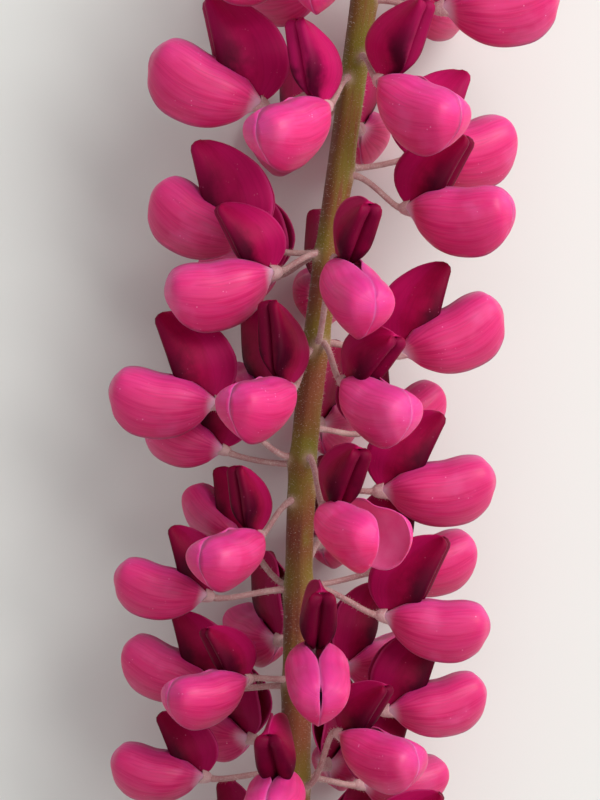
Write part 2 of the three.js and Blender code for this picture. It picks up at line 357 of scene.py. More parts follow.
def sheet(points: np.ndarray, uvs: np.ndarray, closed: bool = False) -> Shape:
    """A sheet of four-sided faces.

    Args:
        points: rows of columns of points, as an array of rows x columns x 3.
        uvs: the same of pattern coordinates, as rows x columns x 2.
        closed: whether the last column joins the first.

    Returns:
        The sheet. Its faces point along (next row) x (next column).
    """
    rows, columns = points.shape[:2]
    faces = []
    for row in range(rows - 1):
        for column in range(columns if closed else columns - 1):
            here, beside = row * columns + column, row * columns + (column + 1) % columns
            faces.append((here, here + columns, beside + columns, beside))
    return Shape(points.reshape(-1, 3), faces, uvs.reshape(-1, 2))


def tube(path: np.ndarray, radii: np.ndarray, sides: int) -> Shape:
    """A round tube along a path, closed at both ends.

    Args:
        path: the points of its centre line.
        radii: its radius at each of them.
        sides: how many sides its section has.

    Returns:
        The tube, with its length in millimetres as the first pattern coordinate.
    """
    ahead = np.gradient(path, axis=0)
    ahead /= np.linalg.norm(ahead, axis=1)[:, None]
    across = np.cross(ahead[0], [0.0, 0.0, 1.0] if abs(ahead[0][2]) < 0.9 else [1.0, 0.0, 0.0])
    turns = ring_angles(sides)
    rings = []
    for centre, forward, radius in zip(path, ahead, radii):
        across = across - forward * (across @ forward)
        across /= np.linalg.norm(across)
        other = np.cross(forward, across)
        rings.append(centre + radius * (np.outer(np.cos(turns), across) + np.outer(np.sin(turns), other)))
    uvs = grid(walked(path), turns / FULL_TURN)
    return sheet(np.array(rings), uvs, closed=True).flipped().capped(sides)


def dress(piece: bpy.types.Object, slot: str, replaced: Sequence[str] = ()) -> None:
    """Puts a finished piece in the frame.

    Args:
        piece: the piece, in its place.
        slot: a material slot name for its finish; not used.
        replaced: the CAD nodes that it stands for.
    """
    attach(piece, BODY)
    if replaced:
        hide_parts(*replaced)
    LOG.info("%s: %d faces", piece.name, len(piece.data.polygons))


def make(name: str, mesh: Mesh, *finishes: Material) -> bpy.types.Object:
    """A new object that shows a mesh in these materials.

    Args:
        name: the object's.
        mesh: in metres.
        finishes: its slots, in order.

    Returns:
        The object.
    """
    mesh.materials.clear()
    for finish in finishes:
        mesh.materials.append(finish)
    piece = bpy.data.objects.new(name, mesh)
    bpy.context.scene.collection.objects.link(piece)
    return piece


def thicken(piece: bpy.types.Object, thickness: float) -> None:
    """Gives a sheet its thickness, inwards from its outer faces.

    Args:
        piece: the piece. Its last material is the inner skin's.
        thickness: in millimetres.
    """
    wall = piece.modifiers.new("wall", "SOLIDIFY")
    wall.thickness = thickness * MM
    wall.offset = -1
    wall.use_even_offset = False
    wall.material_offset = len(piece.data.materials) - 1


# ---- Node trees ----


class Graph:
    """A node tree under construction, with short calls for its nodes and links.

    Attributes:
        tree: the tree.
    """

    def __init__(self, tree: bpy.types.NodeTree) -> None:
        """Starts from an empty tree."""
        tree.nodes.clear()
        self.tree = tree

    def node(self, kind: str, inputs: dict | None = None, **settings: object) -> bpy.types.Node:
        """Adds a node.

        Args:
            kind: the node's type.
            inputs: values or sockets for its inputs, by name or number.
            settings: its other properties.

        Returns:
            The node.
        """
        node = self.tree.nodes.new(kind)
        for name, value in settings.items():
            setattr(node, name, value)
        for name, value in (inputs or {}).items():
            self.feed(value, node.inputs[name])
        return node

    def feed(self, value: Value, socket: Socket) -> None:
        """Links a socket's output to an input, or sets the input to a plain value.

        Args:
            value: what to give.
            socket: the input.
        """
        if isinstance(value, Socket):
            self.tree.links.new(value, socket)
        else:
            socket.default_value = value

    def maths(self, operation: str, *values: Value, clamp: bool = False) -> Socket:
        """The result of a Math node on values or sockets."""
        inputs = dict(enumerate(values))
        return self.node("ShaderNodeMath", inputs, operation=operation, use_clamp=clamp).outputs[0]

    def times(self, first: Value, second: Value) -> Socket:
        """The product of two values or sockets."""
        return self.maths("MULTIPLY", first, second)

    def ramp(self, value: Value, low: Value, high: Value, start: Value = 0, end: Value = 1) -> Socket:
        """Maps value softly from low..high to start..end."""
        inputs = {"Value": value, "From Min": low, "From Max": high, "To Min": start, "To Max": end}
        return self.node("ShaderNodeMapRange", inputs, interpolation_type="SMOOTHSTEP").outputs["Result"]

    def vector(self, x: Value = 0.0, y: Value = 0.0, z: Value = 0.0) -> Socket:
        """The vector of three values or sockets."""
        return self.node("ShaderNodeCombineXYZ", {"X": x, "Y": y, "Z": z}).outputs[0]

    def noise(self, vector: Socket, scale: Value, detail: Value = 2, roughness: float = 0.5) -> Socket:
        """The value of a noise at a vector."""
        inputs = {"Vector": vector, "Scale": scale, "Detail": detail, "Roughness": roughness}
        return self.node("ShaderNodeTexNoise", inputs).outputs["Fac"]


class Effect(Graph):
    """A shader effect that several finishes share, as a node group with named inputs and one output.

    Attributes:
        given: its inputs' sockets, by name.
    """

    def __init__(self, name: str, **inputs: float | None) -> None:
        """Starts the group.

        Args:
            name: the group's name.
            inputs: its inputs and their usual values, where None stands for a vector.
        """
        super().__init__(bpy.data.node_groups.new(name, "ShaderNodeTree"))
        for label, usual in inputs.items():
            kind = "NodeSocketVector" if usual is None else "NodeSocketFloat"
            socket = self.tree.interface.new_socket(label, in_out="INPUT", socket_type=kind)
            if usual is not None:
                socket.default_value = usual
        self.given = self.node("NodeGroupInput").outputs

    def end(self, output: str, value: Socket) -> bpy.types.NodeTree:
        """Puts a value out under a name, and gives the finished group.

        Args:
            output: the name.
            value: what to put out.

        Returns:
            The group.
        """
        self.tree.interface.new_socket(output, in_out="OUTPUT", socket_type="NodeSocketFloat")
        self.node("NodeGroupOutput", {output: value})
        return self.tree


def vein_effect() -> bpy.types.NodeTree:
    """Fine branching veins that run along a petal, from its claw to its margin.

    Returns:
        The group.
    """
    effect = Effect("veins", Along=0, Across=0, Lines=12, Stretch=1.6, Width=0.05)
    given = effect.given
    stretched = effect.vector(
        effect.times(given["Along"], given["Stretch"]), effect.times(given["Across"], given["Lines"])
    )
    waves = effect.noise(stretched, 1, detail=1.5, roughness=0.6)
    from_line = effect.maths("ABSOLUTE", effect.maths("SUBTRACT", waves, 0.5))
    return effect.end("Mask", effect.ramp(from_line, 0, given["Width"], 1, 0))


def mottle_effect() -> bpy.types.NodeTree:
    """Soft uneven patches, about 0.5 on average.

    Returns:
        The group.
    """
    effect = Effect("mottle", Vector=None, Size=2, Contrast=1)
    scale = effect.maths("DIVIDE", 1 / MM, effect.given["Size"])
    centred = effect.maths("SUBTRACT", effect.noise(effect.given["Vector"], scale, 3, 0.6), 0.5)
    patches = effect.maths("MULTIPLY_ADD", centred, effect.given["Contrast"], 0.5, clamp=True)
    return effect.end("Value", patches)


def fleck_effect() -> bpy.types.NodeTree:
    """Sparse small scuffs, which stand where a coarse noise is high.

    Returns:
        The group.
    """
    effect = Effect("flecks", Vector=None, Size=0.35, Share=0.3)
    place = effect.given["Vector"]
    scale = effect.maths("DIVIDE", 1 / MM, effect.given["Size"])
    cells = effect.node("ShaderNodeTexVoronoi", {"Vector": place, "Scale": scale, "Randomness": 1})
    spots = effect.ramp(cells.outputs["Distance"], 0.12, 0.3, 1, 0)
    some = effect.node("ShaderNodeSeparateXYZ", {"Vector": cells.outputs["Color"]}).outputs["X"]
    chosen = effect.maths("LESS_THAN", some, effect.given["Share"])
    patches = effect.ramp(effect.noise(place, 0.4 / MM), 0.56, 0.7)
    return effect.end("Mask", effect.times(effect.times(spots, chosen), patches))


def fuzz_effect() -> bpy.types.NodeTree:
    """Specks of pale down, which stand where a fine noise is above a level.

    Returns:
        The group.
    """
    effect = Effect("fuzz", Vector=None, Fineness=5, Low=0.5, High=0.72, Most=0.75)
    given = effect.given
    specks = effect.noise(given["Vector"], effect.times(given["Fineness"], 1 / MM), 3, 0.7)
    return effect.end("Mask", effect.ramp(specks, given["Low"], given["High"], 0, given["Most"]))


def grain_effect() -> bpy.types.NodeTree:
    """The fine unevenness of a skin, for its relief.

    Returns:
        The group.
    """
    effect = Effect("grain", Vector=None, Fineness=3, Detail=3)
    given = effect.given
    scale = effect.times(given["Fineness"], 1 / MM)
    return effect.end("Height", effect.noise(given["Vector"], scale, given["Detail"]))


@dataclass(frozen=True)
class Effects:
    """The shared shader effects."""

    veins: bpy.types.NodeTree
    mottle: bpy.types.NodeTree
    flecks: bpy.types.NodeTree
    fuzz: bpy.types.NodeTree
    grain: bpy.types.NodeTree


# ---- Finishes ----


class Paint(Graph):
    """A material's pattern under construction: colours are laid over one another, by masks.

    Attributes:
        effects: the shared effects.
        place: the point on the piece, in the part's frame.
        colour: what has been laid so far.
        roughness: how rough it is, where that changes over the piece.
    """

    def __init__(self, tree: bpy.types.NodeTree, effects: Effects) -> None:
        """Starts a material's empty tree.

        Args:
            tree: the material's.
            effects: the shared ones.
        """
        super().__init__(tree)
        self.effects = effects
        self.place = self.node("ShaderNodeTexCoord").outputs["Object"]
        self.colour: Colour | Socket | None = None
        self.roughness: Socket | None = None

    def pattern(self) -> tuple[Socket, Socket]:
        """The two pattern coordinates of the piece's own map.

        Returns:
            The one along the piece, and the one across it.
        """
        uv = self.node("ShaderNodeUVMap", uv_map=UV_NAME).outputs["UV"]
        parts = self.node("ShaderNodeSeparateXYZ", {"Vector": uv})
        return parts.outputs["X"], parts.outputs["Y"]

    def over(self, share: Value, colour: Colour) -> None:
        """Lays a colour over what is there, by a mask.

        Args:
            share: the mask.
            colour: what to lay.
        """
        node = self.node("ShaderNodeMix", data_type="RGBA", blend_type="MIX", clamp_factor=True)
        for number, value in {0: share, 6: self.colour, 7: colour}.items():
            self.feed(value, node.inputs[number])
        self.colour = node.outputs[2]

    def mark(self, name: str) -> Socket:
        """A named value of the piece's points."""
        return self.node("ShaderNodeAttribute", attribute_name=name).outputs["Fac"]

    def group(self, tree: bpy.types.NodeTree, inputs: dict[str, Value]) -> Socket:
        """The output of a shared effect, with inputs given by name in lower case."""
        named = {name.capitalize(): value for name, value in inputs.items()}
        return self.node("ShaderNodeGroup", named, node_tree=tree).outputs[0]

    def veins(self, along: Socket, across: Socket, **inputs: float) -> Socket:
        """A mask of the shared veins."""
        return self.group(self.effects.veins, {"along": along, "across": across, **inputs})

    def mottle(self, size: float, contrast: float) -> Socket:
        """The shared soft patches, of so many millimetres."""
        return self.group(self.effects.mottle, {"vector": self.place, "size": size, "contrast": contrast})

    def flecks(self, colour: Colour, size: float, share: float, strength: float) -> None:
        """Lays the shared scuffs."""
        mask = self.group(self.effects.flecks, {"vector": self.place, "size": size, "share": share})
        self.over(self.times(mask, strength), colour)

    def fuzz(self, colour: Colour, fineness: float, low: float, high: float, most: float) -> None:
        """Lays the shared specks of down."""
        levels = {"fineness": fineness, "low": low, "high": high, "most": most}
        self.over(self.group(self.effects.fuzz, {"vector": self.place, **levels}), colour)

    def grain(self, fineness: float, detail: float) -> Socket:
        """The shared fine unevenness, so many to a millimetre."""
        return self.group(self.effects.grain, {"vector": self.place, "fineness": fineness, "detail": detail})

    def uneven(self, value: Socket, patches: Socket, amount: float) -> Socket:
        """A value that patches push up or down, by up to half an amount."""
        return self.maths("ADD", value, self.maths("MULTIPLY_ADD", patches, amount, -amount / 2))

    def from_middle(self, value: Socket) -> Socket:
        """How far a coordinate of 0 to 1 is from its middle, from 0 to 1."""
        return self.maths("ABSOLUTE", self.maths("MULTIPLY_ADD", value, 2, -1))


@dataclass(frozen=True)
class Finish:
    """What every finish has: its name and the values that are the same all over it.

    Attributes:
        name: the material's.
        roughness, sheen, gloss: how rough, velvety and glossy it is.
        scatter, scatter_depth: the share of the light that goes in, and how far by colour, in millimetres.
        bump, relief: how strong its relief is, and how deep, in millimetres.
    """

    name: str
    roughness: float = 0.5
    sheen: float = 0.0
    gloss: float = 0.35
    scatter: float = 0.0
    scatter_depth: tuple[float, float, float] = (1.0, 0.25, 0.4)
    bump: float = 0.15
    relief: float = 0.1

    def paint(self, paint: Paint) -> Socket:
        """Lays the finish's colours, and gives the height pattern of its relief."""
        raise NotImplementedError

    def build(self, effects: Effects) -> Material:
        """The material.

        Args:
            effects: the shared ones.

        Returns:
            The material.
        """
        material = bpy.data.materials.new(self.name)
        material.use_nodes = True
        paint = Paint(material.node_tree, effects)
        shader = paint.node("ShaderNodeBsdfPrincipled")
        shader.inputs["Roughness"].default_value = self.roughness
        shader.inputs["Sheen Weight"].default_value = self.sheen
        shader.inputs["Sheen Roughness"].default_value = 0.4
        shader.inputs["Specular IOR Level"].default_value = self.gloss
        if self.scatter:
            shader.subsurface_method = "RANDOM_WALK"
            shader.inputs["Subsurface Weight"].default_value = self.scatter
            shader.inputs["Subsurface Radius"].default_value = self.scatter_depth
            shader.inputs["Subsurface Scale"].default_value = MM
        height = self.paint(paint)
        relief = {"Height": height, "Strength": self.bump, "Distance": self.relief * MM}
        paint.feed(paint.colour, shader.inputs["Base Color"])
        if paint.roughness:
            paint.feed(paint.roughness, shader.inputs["Roughness"])
        paint.feed(paint.node("ShaderNodeBump", relief).outputs[0], shader.inputs["Normal"])
        paint.node("ShaderNodeOutputMaterial", {"Surface": shader.outputs[0]})
        return material


@dataclass(frozen=True)
class WingFinish(Finish):
    """The satin pink of a wing: veined from its claw, pale at the claw and along its edge, with painted light
    above, painted shade below and a tinge near its nose that is partly painted sheen.
    """

    body: Colour = srgb(233, 42, 117)
    # painted light: the lighter tone of the petal's upper part, where the light falls
    upper: Colour = srgb(241, 56, 137)
    # violet-magenta near the nose and upper margins: partly the petal's own hue, partly painted sheen
    violet_hue_and_sheen: Colour = srgb(222, 54, 154)
    # painted shade: the darker tone of the petal's lower part, away from the light
    lower: Colour = srgb(214, 30, 102)
    deep: Colour = srgb(190, 12, 88)
    vein: Colour = srgb(178, 12, 74)
    claw: Colour = srgb(246, 196, 212)
    bloom: Colour = srgb(246, 118, 172)
    edge: Colour = srgb(240, 146, 198)
    fleck: Colour = srgb(246, 190, 220)
    uneven_gloss: float = 0.07

    def paint(self, paint: Paint) -> Socket:
        """Lays painted light and shade by height and the petal's deeper tone, then its veins, its claw, its
        edges, a tinge that is partly painted sheen, and its scuffs.

        Args:
            paint: the material's.

        Returns:
            The heights of its relief.
        """
        ramp = paint.ramp
        along, across = paint.pattern()
        patches = paint.mottle(5, 1.6)
        rise = paint.uneven(paint.mark("rise"), patches, 0.3)
        paint.colour = self.body
        # painted light high on the petal and painted shade low on it, by height
        paint.over(ramp(rise, 0.5, 0.95), self.upper)
        paint.over(ramp(rise, 0.5, 0.0), self.lower)
        paint.over(paint.maths("MULTIPLY", paint.mark("shade"), 0.4, clamp=True), self.deep)
        veins = paint.veins(along, across, lines=8, stretch=0.9, width=0.06)
        paint.over(paint.times(veins, ramp(along, 0.95, 0.55, 0.1, 0.26)), self.vein)
        fine_veins = paint.veins(along, across, lines=22, stretch=2.4, width=0.08)
        paint.over(paint.times(fine_veins, 0.09), self.vein)
        pale_veins = paint.veins(along, paint.maths("ADD", across, 3), lines=16, width=0.12)
        paint.over(paint.times(pale_veins, ramp(along, 0.95, 0.3, 0.05, 0.13)), self.bloom)
        paint.over(ramp(paint.mottle(8, 3), 0.5, 1.0, 0, 0.2), self.bloom)
        from_claw = paint.maths("MULTIPLY_ADD", patches, 0.1, along)
        paint.over(ramp(from_claw, 0.1, 0.27, 0.85, 0), self.claw)
        from_edge = paint.mark("rim")
        paint.over(ramp(from_edge, 0.0, 0.11, 0.3, 0), self.edge)
        # a violet-magenta tinge near the nose and margins, high on the petal: partly its own hue, partly
        # painted sheen
        paint.over(paint.times(ramp(from_edge, 0.1, 1.6, 0.31, 0), ramp(rise, 0.55, 0.85)), self.violet_hue_and_sheen)
        paint.flecks(self.fleck, 0.45, 0.2, 0.45)
        spread = self.uneven_gloss
        paint.roughness = ramp(patches, 0.3, 0.7, self.roughness - spread, self.roughness + spread)
        return paint.maths("SUBTRACT", paint.grain(4, 2), veins)


@dataclass(frozen=True)
class BannerFinish(Finish):
    """The velvety crimson of a banner: dark by its midrib and near black at the foot of its ridges, partly
    its own deep crimson and partly painted shade, brighter towards its margin, and lighter on the upper
    flowers, partly with painted sheen.
    """

    # dark crimson by the midrib: partly the banner's own colour, partly painted shade in its groove
    ridge: Colour = srgb(116, 2, 46)
    # near black: painted shade at the foot of the ridges, and the deeper tone of the lower flowers
    foot: Colour = srgb(46, 1, 22)
    face: Colour = srgb(152, 5, 57)
    margin: Colour = srgb(184, 14, 90)
    # lighter magenta of the upper flowers: partly their own tone, partly painted sheen
    light_tone_and_sheen: Colour = srgb(208, 26, 110)
    vein: Colour = srgb(96, 1, 38)
    edge: Colour = srgb(212, 66, 132)
    fleck: Colour = srgb(206, 110, 150)

    def paint(self, paint: Paint) -> Socket:
        """Lays the tones from the midrib out, darkest by the midrib with painted shade, then the lighter tone
        and painted sheen of the upper flowers, the deeper tone of the lower ones, the painted shade at the
        foot of the ridges, the veins, the edge and the scuffs.

        Args:
            paint: the material's.

        Returns:
            The heights of its relief.
        """
        ramp, shade = paint.ramp, paint.mark("shade")
        across, along = paint.pattern()
        patches = paint.mottle(4, 1.5)
        side = paint.from_middle(across)
        uneven = paint.uneven(side, patches, 0.3)
        # partly painted shade: the banner starts from its darkest crimson, by the midrib
        paint.colour = self.ridge
        paint.over(ramp(uneven, 0.12, 0.5), self.face)
        paint.over(ramp(uneven, 0.45, 1.0, 0, 0.75), self.margin)
        turned_out = paint.maths("MULTIPLY_ADD", patches, 0.08, side)
        paint.over(ramp(turned_out, 0.76, 0.81, 0, 0.5), self.margin)
        # lighter magenta on the upper flowers: partly their tone, partly painted sheen
        paint.over(ramp(shade, 0.45, -0.1, 0, 0.6), self.light_tone_and_sheen)
        paint.over(paint.maths("MULTIPLY", shade, 0.32, clamp=True), self.foot)
        # painted shade: near black on the ridges, strongest towards the claw
        ridge_foot_shade = paint.times(ramp(uneven, 0.08, 0.26), ramp(uneven, 0.66, 0.36))
        paint.over(paint.times(paint.times(ramp(along, 0.92, 0.3), ridge_foot_shade), 0.9), self.foot)
        veins = paint.veins(along, across, lines=20, stretch=1.2, width=0.06)
        paint.over(paint.times(veins, 0.12), self.vein)
        paint.over(ramp(side, 0.965, 0.995, 0, 0.5), self.edge)
        paint.flecks(self.fleck, 0.4, 0.2, 0.4)
        return paint.maths("MULTIPLY_ADD", veins, -0.3, paint.grain(4, 2))


@dataclass(frozen=True)
class PetalBackFinish(Finish):
    """The duller inner side of a petal. Its usual colours, which the wings' inner side has, are pale pinks:
    painted light that stands in for the light that comes through the thin petal.
    """

    # painted light: pale pinks that stand in for the light coming through the wings
    base: Colour = srgb(248, 84, 156)
    pale: Colour = srgb(252, 124, 182)

    def paint(self, paint: Paint) -> Socket:
        """Lays pale patches.

        Args:
            paint: the material's.

        Returns:
            The heights of its relief.
        """
        paint.colour = self.base
        paint.over(paint.mottle(3, 1.8), self.pale)
        return paint.grain(3, 2)


@dataclass(frozen=True)
class HairyFinish(Finish):
    """A softly hairy skin with streaks along it, such as a stalk's or a calyx's."""

    base: Colour = srgb(196, 158, 152)
    streak: Colour = srgb(166, 108, 112)
    down: Colour = srgb(218, 202, 196)

    def paint(self, paint: Paint) -> Socket:
        """Lays streaks and down.

        Args:
            paint: the material's.

        Returns:
            The heights of its relief.
        """
        paint.colour = self.base
        paint.over(paint.mottle(2.2, 2), self.streak)
        paint.fuzz(self.down, 5, 0.5, 0.72, 0.75)
        return paint.grain(4, 3)


@dataclass(frozen=True)
class StemFinish(Finish):
    """The stem's ribbed skin: reddish brown below, more olive above, greener at its nodes, with purple
    painted shade on its left side.
    """

    olive: Colour = srgb(126, 94, 32)
    brown: Colour = srgb(132, 66, 42)
    # used for purple patches and for the painted shade on the stem's left side
    purple: Colour = srgb(100, 38, 36)
    green: Colour = srgb(120, 124, 24)
    green_from: float = 102
    green_over: float = 44
    scar: Colour = srgb(190, 158, 142)
    down: Colour = srgb(196, 186, 158)

    def paint(self, paint: Paint) -> Socket:
        """Lays streaks along the stem, purple painted shade on its left, its nodes, its scars and its down.

        Args:
            paint: the material's.

        Returns:
            The heights of its relief.
        """
        ramp = paint.ramp
        along, _ = paint.pattern()
        right = paint.mark("right")
        lengthwise = paint.vector(right, paint.times(along, 0.035), paint.mark("front"))
        streaks = paint.noise(lengthwise, 2.2, 3, 0.6)
        low = ramp(along, self.green_from, self.green_from + self.green_over, 0.3, -0.05)
        paint.colour = self.olive
        paint.over(ramp(paint.maths("ADD", streaks, low), 0.4, 0.64), self.brown)
        paint.over(ramp(paint.mottle(14, 2.4), 0.62, 0.95, 0, 0.7), self.green)
        paint.over(ramp(paint.noise(lengthwise, 1.3), 0.56, 0.72, 0, 0.6), self.purple)
        # painted shade: purple on the stem's left side, away from the light
        left = paint.maths("MULTIPLY_ADD", streaks, 0.9, right)
        paint.over(ramp(left, 0.62, -0.25, 0, 0.75), self.purple)
        paint.over(paint.times(paint.mark("node"), 0.55), self.green)
        paint.over(paint.mark("scar"), self.scar)
        paint.fuzz(self.down, 6, 0.54, 0.74, 0.25)
        return paint.maths("ADD", paint.times(streaks, 2), paint.grain(3, 3))


@dataclass(frozen=True)
class CutFinish(Finish):
    """The cut end of the stem: a green rind around a paler, pithy middle."""

    rind: Colour = srgb(120, 130, 62)
    wood: Colour = srgb(190, 190, 128)
    pith: Colour = srgb(226, 224, 190)

    def paint(self, paint: Paint) -> Socket:
        """Lays the rings from the middle out.

        Args:
            paint: the material's.

        Returns:
            The heights of its relief.
        """
        out, _ = paint.pattern()
        uneven = paint.maths("MULTIPLY_ADD", paint.mottle(0.6, 1.4), 0.12, out)
        paint.colour = self.pith
        paint.over(paint.ramp(uneven, 0.5, 0.74), self.wood)
        paint.over(paint.ramp(uneven, 0.86, 1.0), self.rind)
        return paint.grain(3, 3)


@dataclass(frozen=True)
class KeelFinish(Finish):
    """The keel's skin: pale at its claw, dark purple at its beak."""

    pale: Colour = srgb(214, 150, 170)
    beak: Colour = srgb(46, 10, 46)

    def paint(self, paint: Paint) -> Socket:
        """Lays the beak's colour and the veins.

        Args:
            paint: the material's.

        Returns:
            The heights of its relief.
        """
        along, across = paint.pattern()
        uneven = paint.maths("MULTIPLY_ADD", paint.mottle(2, 1.5), 0.2, along)
        paint.colour = self.pale
        paint.over(paint.ramp(uneven, 0.74, 0.98), self.beak)
        paint.over(paint.times(paint.veins(along, across, lines=8, stretch=1.5), 0.3), self.beak)
        return paint.grain(3, 2)


@dataclass(frozen=True)
class BudFinish(Finish):
    """A shut flower's petals: greener and paler the younger they are, with a darker crease on the back."""

    base: Colour = srgb(196, 44, 104)
    young: Colour = srgb(176, 150, 110)
    crease: Colour = srgb(120, 20, 62)
    down: Colour = srgb(226, 206, 204)

    def paint(self, paint: Paint) -> Socket:
        """Lays the tone of the bud's age, the crease, the veins and the down.

        Args:
            paint: the material's.

        Returns:
            The heights of its relief.
        """
        along, around = paint.pattern()
        uneven = paint.uneven(paint.mark("youth"), paint.mottle(3, 1.8), 0.3)
        paint.colour = self.base
        paint.over(paint.ramp(uneven, 0.1, 0.95), self.young)
        paint.over(paint.ramp(paint.from_middle(around), 0.2, 0.0, 0, 0.5), self.crease)
        paint.over(paint.times(paint.veins(along, around, lines=24), 0.3), self.crease)
        paint.fuzz(self.down, 5, 0.52, 0.74, 0.5)
        return paint.grain(3, 3)


@dataclass(frozen=True)
class HairFinish(Finish):
    """Fine pale hairs with duller patches."""

    pale: Colour = srgb(232, 224, 214)
    dull: Colour = srgb(196, 176, 160)

    def paint(self, paint: Paint) -> Socket:
        """Lays the duller patches.

        Args:
            paint: the material's.

        Returns:
            The heights of its relief.
        """
        patches = paint.mottle(2, 3)
        paint.colour = self.pale
        paint.over(patches, self.dull)
        return patches


class Palette:
    """Every material of the spike, built once."""

    def __init__(self) -> None:
        """Builds the materials."""
        effects = Effects(vein_effect(), mottle_effect(), fleck_effect(), fuzz_effect(), grain_effect())

        def built(finish: Finish) -> Material:
            """A finish's material."""
            return finish.build(effects)

        self.wings = built(WingFinish("wings", 0.46, 0.04, 0.3, scatter=0.6, bump=0.3, relief=0.05))
        self.banner = built(BannerFinish("banner", 0.5, gloss=0.07, bump=0.3, relief=0.06))
        # the wings' inner side, painted pale for the light that comes through the petals
        self.wing_back = built(PetalBackFinish("wing_back", 0.6, gloss=0.2))
        crimson = {"base": srgb(150, 10, 66), "pale": srgb(178, 40, 100)}
        self.banner_back = built(PetalBackFinish("banner_back", 0.6, gloss=0.1, scatter=0.2, **crimson))
        self.keel = built(KeelFinish("keel", 0.45, scatter=0.1))
        pink = {"base": srgb(216, 180, 176), "streak": srgb(186, 126, 136)}
        self.calyx = built(HairyFinish("calyx", 0.65, 0.25, bump=0.4, **pink))
        self.stalk = built(HairyFinish("stalk", 0.62, 0.25, bump=0.4))
        self.stem = built(StemFinish("stem", 0.55, 0.1, 0.2, bump=0.5, relief=0.12))
        self.cut = built(CutFinish("cut_end", 0.7, bump=0.5, relief=0.12))
        self.buds = built(BudFinish("buds", 0.6, 0.2, scatter=0.15, bump=0.3))
        self.hairs = built(HairFinish("hairs", 0.7, 0.3, relief=0.01))


# ---- Where the open flowers are ----


@dataclass(frozen=True)
class Place:
    """Where one open flower is. All but its banner's size are as the part has them.

    Attributes:
        node: the height on the stem where its stalk starts.
        at: the height of its calyx.
        around: the angle of its calyx around the stem, from the front (0) to the right (+90).
        out: how far its calyx is from the centre line.
        heading: the way its wings point.
        pitch: how far they point up.
        lean: how far its banner is bent forwards over them.
        size: its petals' size.
        banner: its banner's size beside theirs.
    """

    node: float
    at: float
    around: float
    out: float
    heading: float
    pitch: float
    lean: float
    size: float
    banner: float = 1.0

    def calyx(self) -> np.ndarray:
        """Where the flower's petals start."""
        return outward(self.around) * self.out + LINE.middle(self.at)

    def axes(self) -> np.ndarray:
        """The flower's own axes, one a row: to its side, forward along its wings, and up its banner.

        Returns:
            The axes, in the spike's frame.
        """
        level, along = outward(self.heading), np.array([0.0, 1.0, 0.0])
        pitch = math.radians(self.pitch)
        forward = level * math.cos(pitch) + along * math.sin(pitch)
        up = along * math.cos(pitch) - level * math.sin(pitch)
        return np.array([np.cross(forward, up), forward, up])

    def placed(self, points: np.ndarray, scale: float = 1.0) -> np.ndarray:
        """Points of the flower's own frame, in the spike's."""
        return points.reshape(-1, 3) * scale @ self.axes() + self.calyx()

    def own(self, point: np.ndarray) -> np.ndarray:
        """A point of the spike's frame, in the flower's own."""
        return self.axes() @ (point - self.calyx())


